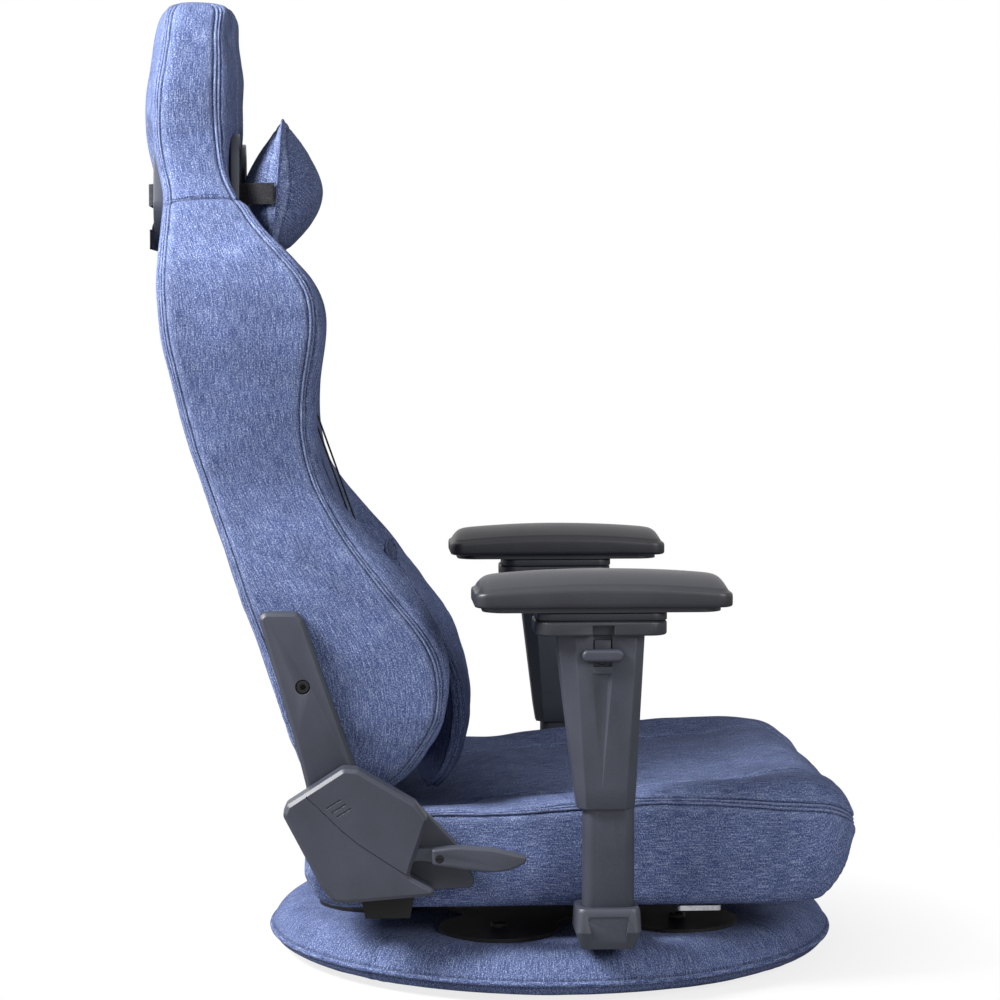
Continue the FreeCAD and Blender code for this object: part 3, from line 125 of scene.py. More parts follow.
def weave_group():
    """Heathered denim: warp and weft yarns of uneven colour, slubs, pale flecks and mottling.

    The painted shading input lightens the cloth where it is above zero, a painted highlight on
    ridges, and darkens it below, a painted shade in seams.
    """
    tree, (place, dark, middle, pale, painted_shading) = shader_group(
        "Heathered weave", Dark=(0, 0, 0, 1), Middle=(0, 0, 0, 1), Pale=(0, 0, 0, 1), Wear=0.0)
    yarns = combined(yarn_noise(place, 1350.0, 430.0), yarn_noise(place, 480.0, 1350.0))
    slub = yarn_noise(place, 900.0, 60.0, 3.0)
    fine = noise(place, 900.0, 2.0, 0.8)
    share = ranged(combined(yarns, combined(fine, slub)), 1.64, 2.4)
    low = blended(ramp(share, (0.0, 0.0), (0.55, 1.0)), dark, middle)
    both = blended(ramp(share, (0.5, 0.0), (1.0, 1.0)), low, pale)
    fleck = noise(place, 620.0, 2.0, 0.7)
    bright = blended(ramp(fleck, (0.62, 0.0), (0.74, 1.0)), both, pale)
    slow = noise(place, 22.0, 5.0, 0.6)
    mottled = blended(1.0, bright, ramp(slow, (0.3, 0.84), (0.7, 1.16)), "MULTIPLY")
    # Painted light and shade: lighter towards pale on ridges where the attribute is above zero,
    # darker in seams below it.
    ridge_highlight = blended(ranged(painted_shading, 0.0, 1.0, 0.0, 0.45), mottled, pale)
    shade = ranged(painted_shading, -1.0, 0.0, 0.3, 1.0)
    final = blended(1.0, ridge_highlight, ramp(shade, (0.0, 0.0), (1.0, 1.0)), "MULTIPLY")
    node(tree, "NodeGroupOutput", {"Color": final, "Height": share,
                                   "Roughness": ranged(fine, 0.0, 1.0, 0.78, 0.98)})
    return tree


def grain_group():
    """Fine moulded grain: tiny even pits, slow gloss changes and a little settled dust."""
    tree, (place, colour, roughness, cells) = shader_group(
        "Moulded grain", Color=(0, 0, 0, 1), Roughness=0.5, Cells=900.0)
    pits = noise(place, cells, 2.0, 0.6)
    slow = noise(place, 16.0, 5.0, 0.6)
    rough = combined(roughness, ranged(slow, 0.2, 0.8, -0.07, 0.07))
    both = blended(1.0, ramp(slow, (0.3, 0.86), (0.75, 1.18)),
                   ramp(pits, (0.35, 0.86), (0.65, 1.14)), "MULTIPLY")
    varied = blended(1.0, colour, both, "MULTIPLY")
    node(tree, "NodeGroupOutput", {"Color": varied, "Roughness": rough, "Height": pits})
    return tree


WEAVE = weave_group()
GRAIN = grain_group()


def surface(name, bump, distance, group=GRAIN, sheen=0.0, metallic=0.0, specular=0.5,
            painted_shading=False, edge=0.0, **values):
    """Principled material whose colour, roughness and bump come from one of the groups."""
    material = bpy.data.materials.new(name)
    material.use_nodes = True
    tree = material.node_tree
    shader = tree.nodes["Principled BSDF"]
    place = node(tree, "ShaderNodeTexCoord", {})["UV" if group == WEAVE else "Object"]
    if painted_shading:
        # Point attribute of painted light and shade on the cloth: highlight on ridges, shade in seams
        # and creases.
        values["Wear"] = node(tree, "ShaderNodeAttribute", {}, attribute_name="painted_shading")["Fac"]
    pattern = node(tree, "ShaderNodeGroup", {"Vector": place, **values}, node_tree=group)
    relief = {"Height": pattern["Height"], "Strength": bump, "Distance": distance}
    if edge:
        relief["Normal"] = node(tree, "ShaderNodeBevel", {"Radius": edge * MM}, samples=4)[0]
    feed(tree, shader, {
        "Base Color": pattern["Color"], "Roughness": pattern["Roughness"], "Metallic": metallic,
        "Specular IOR Level": specular, "Normal": node(tree, "ShaderNodeBump", relief)[0]})
    if sheen:
        feed(tree, shader, {"Sheen Weight": sheen, "Sheen Roughness": 0.4,
                            "Sheen Tint": (0.8, 0.85, 1.0, 1.0)})
    return material


denim = surface("heathered blue denim", 0.5, 0.0007, WEAVE, sheen=0.05, specular=0.03, painted_shading=True,
                Dark=(0.026, 0.038, 0.115, 1), Middle=(0.084, 0.116, 0.25, 1),
                Pale=(0.4, 0.46, 0.64, 1))
thread = surface("navy stitching thread", 0.3, 0.0002, sheen=0.2, specular=0.2,
                 Color=(0.012, 0.015, 0.038, 1), Roughness=0.75, Cells=1800.0)
webbing = surface("black woven elastic", 0.6, 0.0005, WEAVE, sheen=0.2, specular=0.3,
                  Dark=(0.005, 0.005, 0.006, 1), Middle=(0.014, 0.014, 0.016, 1),
                  Pale=(0.045, 0.045, 0.05, 1))
plastic = surface("charcoal moulded plastic", 0.25, 0.0002, edge=0.8,
                  Color=(0.036, 0.04, 0.056, 1), Roughness=0.46, Cells=1100.0)
dark_plastic = surface("black moulded plastic", 0.2, 0.0002, Color=(0.026, 0.028, 0.036, 1),
                       Roughness=0.42, Cells=1100.0)
pad_skin = surface("soft black armrest skin", 0.3, 0.0003, Color=(0.02, 0.021, 0.027, 1),
                   Roughness=0.42, Cells=1500.0)
rubber = surface("black non-slip rubber", 0.6, 0.0006, specular=0.3, Color=(0.01, 0.01, 0.011, 1),
                 Roughness=0.85, Cells=500.0)
powder = surface("black powder coat", 0.35, 0.0003, specular=0.3, Color=(0.006, 0.006, 0.007, 1),
                 Roughness=0.5, Cells=700.0)
zinc = surface("bright zinc plating", 0.15, 0.0001, metallic=1.0, Color=(0.62, 0.63, 0.65, 1),
               Roughness=0.3, Cells=350.0)
plywood = surface("raw board", 0.3, 0.0003, Color=(0.5, 0.36, 0.22, 1), Roughness=0.75,
                  Cells=200.0)

FINISH = {"denim_fabric": denim, "piping_fabric": denim, "black_webbing": webbing,
          "rubber_sheet": rubber, "board": plywood, "zinc_steel": zinc, "race_steel": zinc,
          "pad_foam": pad_skin, "pad_plastic": dark_plastic, "charcoal_plastic": plastic,
          "black_steel": powder}
OWN_FINISH = {"rotor_plate": dark_plastic, "armrest_head": dark_plastic,
              "pad_base": dark_plastic, "mast": plastic}
SLOTS = {part["node"]: part["material_slot"] for part in frame["record"]["subparts"]}
BODY = {name: body for body, names in frame["record"]["behaviour"]["bodies"].items()
        for name in names}

for name, obj in frame["nodes"].items():
    stem = name.removesuffix("_left").removesuffix("_right")
    obj.data.materials.clear()
    obj.data.materials.append(OWN_FINISH.get(stem, FINISH[SLOTS[name]]))


# Mesh making

def bell(distance, width):
    """Smooth bump: one at distance zero, falling away on both sides over the width."""
    return np.exp(-(distance / width) ** 2)


def stacked(*axes):
    """Points from their coordinates, each a number or an array."""
    return np.stack(np.broadcast_arrays(*axes), axis=-1)


def unit(vectors):
    return vectors / np.maximum(np.linalg.norm(vectors, axis=-1, keepdims=True), 1e-12)


def running_length(path):
    """Length along a line of points, from zero at its first point."""
    return np.concatenate([[0], np.cumsum(np.linalg.norm(np.diff(path, axis=0), axis=1))])


def at_lengths(where, run, values):
    """Rows of values at the given places along their running length."""
    return np.stack([np.interp(where, run, column) for column in values.T], axis=1)


def evenly(path, count):
    """So many points at even steps along a path."""
    run = running_length(path)
    return at_lengths(np.linspace(0, run[-1], count), run, path)


def bow(a, m, b, t):
    """Parabola from a to b that passes m half way, at the fractions t: a (rows, t, axes) array."""
    a, m, b = (np.asarray(p, float)[:, None, :] for p in (a, m, b))
    t = np.asarray(t)[None, :, None]
    c = 2 * m - (a + b) / 2
    return (1 - t) ** 2 * a + 2 * t * (1 - t) * c + t ** 2 * b


def crowd(count):
    """Fractions from 0 to 1 that lie closer together near both ends."""
    s = np.linspace(0, 1, count + 1)
    return 0.25 * s + 0.75 * (0.5 - 0.5 * np.cos(np.pi * s))


def through_stations(stations, rows, fine=None):
    """Natural cubic spline by chord length through the rows of a table.

    fine is (column, low, high, factor): where that column lies between low and high the rows lie
    factor times closer together.
    """
    s = np.asarray(stations, float)
    t = running_length(s)
    h = np.diff(t)
    k = np.arange(1, len(h))
    system = np.eye(len(t))
    system[k, k - 1] = h[:-1]
    system[k, k] = 2 * (h[:-1] + h[1:])
    system[k, k + 1] = h[1:]
    right = np.zeros_like(s)
    right[1:-1] = 6 * np.diff(np.diff(s, axis=0) / h[:, None], axis=0)
    m = np.linalg.solve(system, right)

    def at(q):
        i = np.clip(np.searchsorted(t, q, side="right") - 1, 0, len(h) - 1)
        a, b, w = (x[:, None] for x in (t[i + 1] - q, q - t[i], h[i]))
        return (m[i] * a ** 3 + m[i + 1] * b ** 3) / (6 * w) + \
            (s[i] / w - m[i] * w / 6) * a + (s[i + 1] / w - m[i + 1] * w / 6) * b
    q = np.linspace(0, t[-1], rows)
    if fine:
        column, low, high, factor = fine
        value = at(q)[:, column]
        density = np.where((value > low) & (value < high), factor, 1.0)
        pace = np.concatenate([[0], np.cumsum((density[1:] + density[:-1]) / 2 * np.diff(q))])
        q = np.interp(np.linspace(0, pace[-1], int(rows * pace[-1] / t[-1])), pace, q)
    return at(q)


def arc_length(points, axis):
    """Running length of a grid of points along one axis, from zero."""
    step = np.linalg.norm(np.diff(points, axis=axis), axis=2)
    pad = [(0, 0), (0, 0)]
    pad[axis] = (1, 0)
    return np.pad(np.cumsum(step, axis=axis), pad)


def outer_normals(points):
    """Unit normals of a grid whose columns close up, turned away from the middle of its rows."""
    along = np.gradient(points, axis=0)
    across = (np.roll(points, -1, axis=1) - np.roll(points, 1, axis=1)) / 2
    n = unit(np.cross(across, along))
    outward_share = ((points - points.mean(axis=1, keepdims=True)) * n).sum()
    return n if outward_share > 0 else -n


def waves(points, size, seed, octaves=2):
    """Smooth random field from -1 to 1: a sum of sines of the position in random directions.

    Each octave has shorter and weaker waves than the one before.
    """
    per_octave, fall = 7, 1.9
    rng = np.random.default_rng(seed)
    total = np.zeros(points.shape[:-1])
    weight = 0.0
    for octave in range(octaves):
        for _ in range(per_octave):
            direction = rng.normal(size=3)
            direction *= 2 * np.pi / (size * rng.uniform(0.7, 1.5) / fall ** octave) \
                / np.linalg.norm(direction)
            total += np.sin(points @ direction + rng.uniform(0, 2 * np.pi)) / fall ** octave
        weight += per_octave ** 0.5 / fall ** octave
    return np.clip(total / weight, -1.5, 1.5)


def new_object(name, data):
    obj = bpy.data.objects.new(name, data)
    bpy.context.scene.collection.objects.link(obj)
    return obj


def make_mesh(name, vertices, faces, uvs=None, material=None, painted_shading=None):
    """Smooth mesh object at the origin from vertices in millimetres and faces as index rows."""
    mesh = bpy.data.meshes.new(name)
    mesh.from_pydata((vertices * MM).tolist(), [], faces)
    if uvs is not None:
        layer = mesh.uv_layers.new(name="cloth")
        layer.data.foreach_set("uv", (uvs * MM).ravel())
    if painted_shading is not None:
        # Painted light and shade per point, read by the denim material.
        marks = mesh.attributes.new("painted_shading", "FLOAT", "POINT")
        marks.data.foreach_set("value", painted_shading)
    mesh.polygons.foreach_set("use_smooth", [True] * len(mesh.polygons))
    mesh.update()
    if material:
        mesh.materials.append(material)
    return new_object(name, mesh)


def outward(obj):
    """Recalculates the normals of a closed mesh so that its faces point outwards."""
    work = bmesh.new()
    work.from_mesh(obj.data)
    bmesh.ops.remove_doubles(work, verts=work.verts, dist=1e-6)
    bmesh.ops.recalc_face_normals(work, faces=work.faces)
    work.to_mesh(obj.data)
    work.free()
    return obj


def dressed(obj, body, slot, *stands_for):
    """Fixes a new piece to its body and hides the nodes it stands for; slot is not used."""
    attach(obj, body)
    if stands_for:
        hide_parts(*stands_for)


def quads(rows, cols, bands):
    """Faces between rows of a grid whose columns close up, and the grid places of their corners.

    With as many bands as rows, the last row joins the first.
    """
    i, j = (x.ravel() for x in np.meshgrid(np.arange(bands), np.arange(cols), indexing="ij"))
    corners = [(i, j), (i, j + 1), (i + 1, j + 1), (i + 1, j)]
    return np.stack([a % rows * cols + b % cols for a, b in corners], axis=1), corners


def grid_object(name, points, material, u=None, v=None, painted_shading=None, seams=()):
    """Quad mesh over a grid whose columns close up, with a fan of faces over each end row.

    The cloth coordinates are true lengths unless u and v are given: u runs along the columns
    and v along the rows. Between seams u is measured from the middle of that panel, so that each
    panel has its own straight grain.
    """
    rows, cols = points.shape[:2]
    shift = np.zeros((rows, cols))
    if u is None:
        loop = np.concatenate([points, points[:, :1]], axis=1)
        u = arc_length(loop, 1)
        stops = [0, *seams, cols]
        middles = [(a + b) // 2 for a, b in zip(stops, stops[1:])]
        if seams:
            middles[0], middles[-1] = 0, cols
        panel = np.searchsorted(seams, np.arange(cols), side="right")
        shift = u[:, np.array(middles)[panel]]
        v = np.broadcast_to(arc_length(points, 0).mean(axis=1)[:, None], loop.shape[:2])
    faces, corners = quads(rows, cols, rows - 1)
    uvs = [np.stack([stacked(u[a, b] - shift[a, corners[0][1]], v[a, b]) for a, b in corners],
                    axis=1).reshape(-1, 2)]
    faces = faces.tolist()
    c = np.arange(cols)
    for row, pole in ((0, rows * cols), (rows - 1, rows * cols + 1)):
        faces += stacked(row * cols + c, row * cols + (c + 1) % cols, pole).tolist()
        side = v[row, 0] + (10.0 if row else -10.0)
        low, high = u[row, c] - shift[row], u[row, c + 1] - shift[row]
        fan = [stacked(low, v[row, c]), stacked(high, v[row, c]), stacked((low + high) / 2, side)]
        uvs.append(np.stack(fan, axis=1).reshape(-1, 2))
    if painted_shading is not None:
        painted_shading = np.concatenate([np.ravel(painted_shading), [0, 0]])
    vertices = np.vstack([points.reshape(-1, 3), points[0].mean(axis=0), points[-1].mean(axis=0)])
    return outward(make_mesh(name, vertices, faces, np.concatenate(uvs), material, painted_shading))


def cover(name, points, painted_shading, seams, body, fill, *stands_for):
    """Denim cover of a padded piece; returns its object."""
    obj = grid_object(name, points, denim, painted_shading=painted_shading, seams=seams)
    dressed(obj, body, "denim_fabric", *stands_for)
    return obj


def with_ends(points, painted_shading, axis, *ends):
    """Grid, and its painted shading, with rings over both end rows, which lie across an axis.

    Each end row shrinks to its middle as it domes out; ends are (bulge, number of rings).
    """
    closed = []
    for row, sign, (bulge, count) in zip((points[0], points[-1]), (-1, 1), ends):
        s = np.cos(np.linspace(0, np.pi / 2, count + 1))[1:-1, None]
        rings = row.mean(axis=0) + (row - row.mean(axis=0)) * s[..., None]
        rings[..., axis] += sign * bulge * (1 - s ** 2) ** 0.5
        closed.append(rings)
    first, last = closed
    edges = ((len(first), len(last)), (0, 0))
    return np.concatenate([first[::-1], points, last]), np.pad(painted_shading, edges)


def sections(start, *edges):
    """Closed sections from the edges of their left half: (name, middle, end, number of columns).

    Each edge is a bow that begins where the one before it ends. Returns the grid and the column
    where each edge begins.
    """
    runs, begins, count = [], {}, 0
    for name, middle, end, columns in edges:
        part = bow(start, middle, end, crowd(columns))
        runs.append(part[:, :-1])
        begins[name] = count
        start, count = end, count + columns
    half = np.concatenate(runs + [part[:, -1:]], axis=1)
    return np.concatenate([half, half[:, -2:0:-1] * (1, -1, 1)], axis=1), begins


def both_sides(columns, total):
    """The columns of the left half and, in order, their mirror images on the right."""
    return columns + [total - c for c in reversed(columns)]


# Sewing

SEAM_STEPS = np.array([0, 0.6, 1.2, 1.8, 2.5, 3.2, 3.9, 4.5, 5.1, 5.9, 7.2, 9.5, 13, 18, 24.0])
STITCH_OFFSET = 4.6
STITCH_PITCH, STITCH_LENGTH, THREAD_RADIUS, STITCH_LIFT = 3.0, 2.3, 0.42, 0.15
COARSE_ROWS, COARSE_COLUMNS, FILLING_FRAMES = 5, 6, 14


def lined_up(points, columns, fills):
    """Moves the columns of closed rows so that they lie at the same distances from every seam.

    columns are the seams in order; fills gives how many columns fill each stretch between them.
    Returns the new grid, the seams' new columns and the distance of all points from each seam.
    """
    loop = np.concatenate([points, points[:, :1]], axis=1)
    run = arc_length(loop, 1)
    stops = [0, *columns, loop.shape[1] - 1]
    pieces = []
    for k, (a, b) in enumerate(zip(stops, stops[1:])):
        length = (run[:, b] - run[:, a])[:, None]
        near = SEAM_STEPS * np.minimum(1.0, 0.45 * length / SEAM_STEPS[-1])
        start = near if k > 0 else near[:, :1]
        end = length - (near[:, ::-1] if k < len(columns) else near[:, :1])
        t = np.linspace(0, 1, fills[k] + 2)[None, 1:-1]
        middle = start[:, -1:] * (1 - t) + end[:, :1] * t
        pieces.append(np.concatenate([start, middle, end[:, :-1]], axis=1) + run[:, [a]])
    where = np.concatenate(pieces, axis=1)
    placed = np.array([at_lengths(*row) for row in zip(where, run, loop)])
    found = np.cumsum([piece.shape[1] for piece in pieces[:-1]]).tolist()
    return placed, found, [where - run[:, [c]] for c in columns]


def sewn(points, distances, seed, swell=1.2):
    """Height and painted shading of the cloth beside seams with a row of stitches on each side.

    The seam and both rows are narrow valleys, the folded allowance makes a low ridge between
    them, the padding swells beyond, and short puckers cross the seam and fade out.
    """
    height = np.zeros(points.shape[:2])
    painted_shading = np.zeros(points.shape[:2])
    ripple = 0.4 * waves(points, 15.0, seed)
    for d in distances:
        a = np.abs(d)
        beyond = np.maximum(a - STITCH_OFFSET, 0) / 6.0
        fold = bell(a - 2.3, 1.2)
        row = bell(a - STITCH_OFFSET, 0.9)
        groove = bell(d, 0.8)
        height += 0.5 * fold - 1.0 * groove - 0.95 * row
        height += swell * beyond * np.exp(1 - beyond) + ripple * np.exp(-a / 13.0)
        # Painted shade in the seam and both stitch rows, painted highlight on the folded allowance
        # and on the swell beyond.
        painted_shading += 0.5 * fold - 0.75 * groove - 0.6 * row + 0.2 * bell(a - 8.0, 3.0)
    return height, np.clip(painted_shading, -1, 1)


def stitches(name, lines, body):
    """Rows of sewn stitches: a short rounded thread at even steps along each line.

    Each line is (points, normals). A stitch is a five-sided tube whose middle stands proud and
    whose ends dip into the cloth.
    """
    ring = np.linspace(0, 2 * np.pi, 6)[:-1, None]
    along = np.array([[-0.5], [0.0], [0.5]]) * STITCH_LENGTH
    width = np.array([0.5, 1.0, 0.5])[:, None, None] * THREAD_RADIUS
    rise = np.array([[-0.6], [0.3], [-0.6]]) * THREAD_RADIUS
    tubes = []
    for points, normals in lines:
        run = running_length(points)
        where = np.arange(STITCH_PITCH / 2, run[-1] - STITCH_PITCH / 2, STITCH_PITCH)
        p, n = at_lengths(where, run, points), at_lengths(where, run, normals)
        t = unit(at_lengths(where + 0.8, run, points) - p)
        n = unit(n - t * (n * t).sum(axis=1, keepdims=True))
        spine = (p + n * STITCH_LIFT)[:, None] + t[:, None] * along + n[:, None] * rise
        circle = np.cross(t, n)[:, None] * np.cos(ring) + n[:, None] * np.sin(ring)
        tubes.append(spine[:, :, None] + circle[:, None] * width)
    tubes = np.concatenate(tubes)
    base = np.arange(len(tubes))[:, None] * 15
    faces = (base[..., None] + quads(3, 5, 2)[0]).reshape(-1, 4).tolist()
    faces += (base + np.arange(5)[::-1]).tolist() + (base + 10 + np.arange(5)).tolist()
    obj = outward(make_mesh(name, tubes.reshape(-1, 3), faces, None, thread))
    dressed(obj, body, "piping_fabric")


def beside(points, normals, distance, offset, rows):
    """The line that runs beside a seam: in each row the point at offset from the seam."""
    both = np.concatenate([points, normals], axis=2)[rows]
    found = np.vstack([at_lengths([offset], *row) for row in zip(distance[rows], both)])
    return found[:, :3], found[:, 3:]


def double_rows(points, normals, distances, rows):
    """Lines for a row of stitches on both sides of each seam."""
    return [beside(points, normals, d, offset, rows)
            for d in distances for offset in (-STITCH_OFFSET, STITCH_OFFSET)]


def stuffed(points, seams, pressure, cap):
    """Cloth simulation of the filling on a coarse copy of a closed grid.

    The seams and the end rows are pinned and the air pressure swells the cloth between them. No
    point moves further than cap, and the smoothed movement is spread over the fine grid.
    """
    total = points.shape[1]
    rows = np.unique(np.r_[0:len(points):COARSE_ROWS, len(points) - 1])
    cols = np.array(sorted({*range(0, total, COARSE_COLUMNS), *seams}))
    coarse = points[rows][:, cols]
    faces = quads(len(rows), len(cols), len(rows) - 1)[0]
    obj = make_mesh("stuffing", coarse.reshape(-1, 3), faces.tolist())
    held = np.isin(cols, seams)[None] | np.isin(rows, (0, len(points) - 1))[:, None]
    group = obj.vertex_groups.new(name="seams")
    group.add(np.flatnonzero(held).tolist(), 1.0, "REPLACE")
    normals = outer_normals(coarse)
    facing = np.dot(np.array(obj.data.polygons[0].normal), normals[0, 0])
    modifier = obj.modifiers.new("filling", "CLOTH")
    configure(modifier.settings, quality=5, mass=0.3, tension_stiffness=20.0,
              compression_stiffness=20.0, bending_stiffness=2.0, shrink_min=-0.012,
              vertex_group_mass="seams", use_pressure=True,
              uniform_pressure_force=math.copysign(pressure, facing))
    modifier.settings.effector_weights.gravity = 0
    modifier.collision_settings.use_collision = False
    scene = bpy.context.scene
    for number in range(1, FILLING_FRAMES + 1):
        scene.frame_set(number)
    result = obj.evaluated_get(bpy.context.evaluated_depsgraph_get())
    end = np.empty(coarse.size)
    result.data.vertices.foreach_get("co", end)
    scene.frame_set(1)
    bpy.data.objects.remove(obj)
    move = end.reshape(coarse.shape) / MM - coarse
    length = np.linalg.norm(move, axis=2, keepdims=True)
    move *= cap * np.tanh(length / cap) / np.maximum(length, 1e-9)
    move -= 0.55 * cap * normals * ~held[..., None]
    ring = np.concatenate([move, move[:, :1]], axis=1)
    stops = np.append(cols, total)
    wide = np.array([at_lengths(np.arange(total), stops, line) for line in ring])
    full = np.stack([at_lengths(np.arange(len(points)), rows, wide[:, c]) for c in range(total)],
                    axis=1)
    for _ in range(4):
        full = (np.roll(full, 2, axis=1) + full + np.roll(full, -2, axis=1)) / 3
        padded = np.pad(full, ((2, 2), (0, 0), (0, 0)), mode="edge")
        full = (padded[:-4] + padded[2:-2] + padded[4:]) / 3
    return points + full


# Backrest

BACK = [
    (205, -254, -259, -184, -174, -166, -164, 232, 34, 150),
    (222, -262, -267, -164, -153, -162, -160, 240, 34, 152),
    (245, -271, -277, -147, -136, -157, -155, 245, 34, 154),
    (275, -281, -288, -131, -121.5, -154, -152, 248, 34, 155),
    (310, -293, -300, -127, -116, -161, -159, 248, 34, 156),
    (345, -305, -312, -136, -120, -179, -177, 248, 34, 156),
    (385, -320, -327, -164, -138, -198, -196, 247, 34, 154),
    (430, -335, -342, -200, -170, -212, -210, 244, 34, 150),
    (475, -350, -357, -230, -208, -227, -225, 240, 34, 146),
    (515, -364, -370, -250, -234, -242, -240, 239, 34, 142),
    (560, -378, -384, -260, -246, -259, -257, 242, 34, 140),
    (610, -390, -396, -259, -245, -276, -274, 248, 34, 138),
    (660, -400, -406, -252, -240, -292, -290, 254, 34, 136),
    (700, -403, -410, -256, -246, -305, -303, 253, 34, 132),
    (735, -403, -411, -280, -271, -317, -315, 241, 32, 124),
    (762, -402, -411, -303, -297, -325, -324, 217, 28, 112),
    (785, -401, -412, -320, -316, -331, -330.5, 188, 24, 98),
    (805, -402, -414, -333, -331, -334, -333.5, 165, 20, 84),
    (828, -408, -419, -342, -337, -335, -334, 152, 20, 76),
    (858, -413, -426, -346, -337, -332, -330, 147, 20, 74),
    (900, -412, -427, -348, -337, -331, -329, 146, 20, 74),
    (938, -407, -421.5, -347, -337, -331, -329, 143, 20, 72),
    (966, -403, -418, -347, -339, -334, -332, 136, 20, 68),
    (986, -400, -413, -346, -337, -333, -332, 122, 20, 58),
    (995, -393, -404, -352, -344, -341, -340, 103, 18, 46),
    (999, -387, -395, -359, -354, -352, -351.6, 80, 14, 34),
]
HOLE_Y, HOLE_Z, HOLE_W, HOLE_H, HOLE_TURN = 96.0, 812.0, 42.0, 84.0, math.radians(12)
HOLE_CORNER = 17.0
BEZEL_REAR = -412.6
NECK_X = [-403, -397, -377, -360, -342, -330]
NECK_Z = [788, 789, 792.5, 795.2, 794.9, 794]
FADED_ROWS = 12.0


def back_sections(table):
    """Level sections of the backrest: rear, corner, side, front edge, inner slope and panel."""
    z, rear, rear_mid, seam, crest, panel, panel_mid, half, inset, panel_half = table.T
    corner = np.minimum(14.0, (seam - rear) / 4)
    crest_y = half - inset

    def at(x, y):
        return stacked(x, y, z)
    return sections(
        at(rear_mid, 0),
        ("rear", at(rear + 0.75 * (rear_mid - rear), (half - corner) * 0.5),
         at(rear, half - corner), 26),
        ("corner", at(rear + corner * 0.3, half - corner * 0.3), at(rear + corner, half), 8),
        ("side", at((rear + seam) / 2, half + 1.5), at(seam, half - 3), 34),
        ("front", at(seam + 0.72 * (crest - seam), half - 0.42 * inset), at(crest, crest_y), 16),
        ("slope", at(crest + 0.42 * (panel - crest) + 1, crest_y + 0.5 * (panel_half - crest_y)),
         at(panel, panel_half), 20),
        ("panel", at(panel_mid - 0.25 * (panel_mid - panel), panel_half * 0.5),
         at(panel_mid, 0), 26))


def hole_distance(y, z):
    """Distance outside the rounded slanted belt opening, negative inside it."""
    dy, dz = np.abs(y) - HOLE_Y, z - HOLE_Z
    u = dy * math.cos(HOLE_TURN) + dz * math.sin(HOLE_TURN)
    v = dz * math.cos(HOLE_TURN) - dy * math.sin(HOLE_TURN)
    beyond_u = np.maximum(np.abs(u) - (HOLE_W / 2 - HOLE_CORNER), 0)
    beyond_v = np.maximum(np.abs(v) - (HOLE_H / 2 - HOLE_CORNER), 0)
    return np.hypot(beyond_u, beyond_v) - HOLE_CORNER


def backrest():
    """Backrest shell: level sections along a spline, lined up with six seams, filled, then sewn.

    A crease runs round the neck, the shoulders and the lower corners fold a little, and the cloth
    is drawn in to the belt bezels at the rear.
    """
    table = through_stations(BACK, 230, (0, 783, 800, 2.5))
    level, half_width = table[:, 0], table[:, 7]
    points, begins = back_sections(table)
    columns = both_sides([begins["corner"] + 4, begins["front"], begins["panel"]],
                         points.shape[1])
    points, columns, distances = lined_up(points, columns, (32, 20, 9, 58, 9, 20, 32))
    points = stuffed(points, columns, 1.6, 2.6)
    normals = outer_normals(points)
    height, painted_shading = sewn(points, distances, 3)
    x, y, z = np.moveaxis(points, 2, 0)
    half = np.interp(z[:, 0], level, half_width)[:, None]
    neck = z - np.interp(x, NECK_X, NECK_Z)
    side = 1 / (1 + np.exp(-(np.abs(y) - half + 22) / 3))
    height -= (1.5 * bell(neck, 1.5) - 0.8 * bell(np.abs(neck) - 8, 5)) * side
    # Painted shade along the neck crease.
    painted_shading -= 0.8 * bell(neck, 1.2) * side
    height += 0.55 * waves(points, 90.0, seed=8)
    height += 0.9 * waves(points * [1, 1, 0.45], 60.0, seed=5) * bell(z - 800, 60)
    lower_corner = bell(z - 250, 60) * bell(np.abs(y) - 235, 25)
    height += 0.9 * waves(points * [1, 1, 2.2], 60.0, seed=12) * lower_corner
    fade = np.minimum(1.0, np.arange(len(points))[::-1, None] / FADED_ROWS)
    height *= fade
    painted_shading *= fade
    points = points + normals * height[..., None]
    near = np.clip((30.0 - hole_distance(points[..., 1], points[..., 2])) / 20.0, 0, 1)
    sunk = np.maximum(BEZEL_REAR - points[..., 0], 0) * (points[..., 0] < -380)
    points[..., 0] += sunk * near * near * (3 - 2 * near)
    whole, painted_shading = with_ends(points, painted_shading, 2, (3.0, 7), (1.2, 7))
    cut_belt_holes(cover("backrest_cover", whole, painted_shading, columns, "backrest", 0.95,
                         "back_cushion", "headrest_cushion"))
    lines = double_rows(points, normals, distances, slice(4, -8))
    across = np.linspace(-398, -344, 30)
    rise = np.interp(across, NECK_X, NECK_Z) + 3.2
    for sign in (1, -1):
        out = np.interp(rise, level, half_width) + 0.9
        lines.append((stacked(across, sign * out, rise), np.tile([0, sign, 0.25], (30, 1))))
    stitches("backrest_stitching", lines, "backrest")


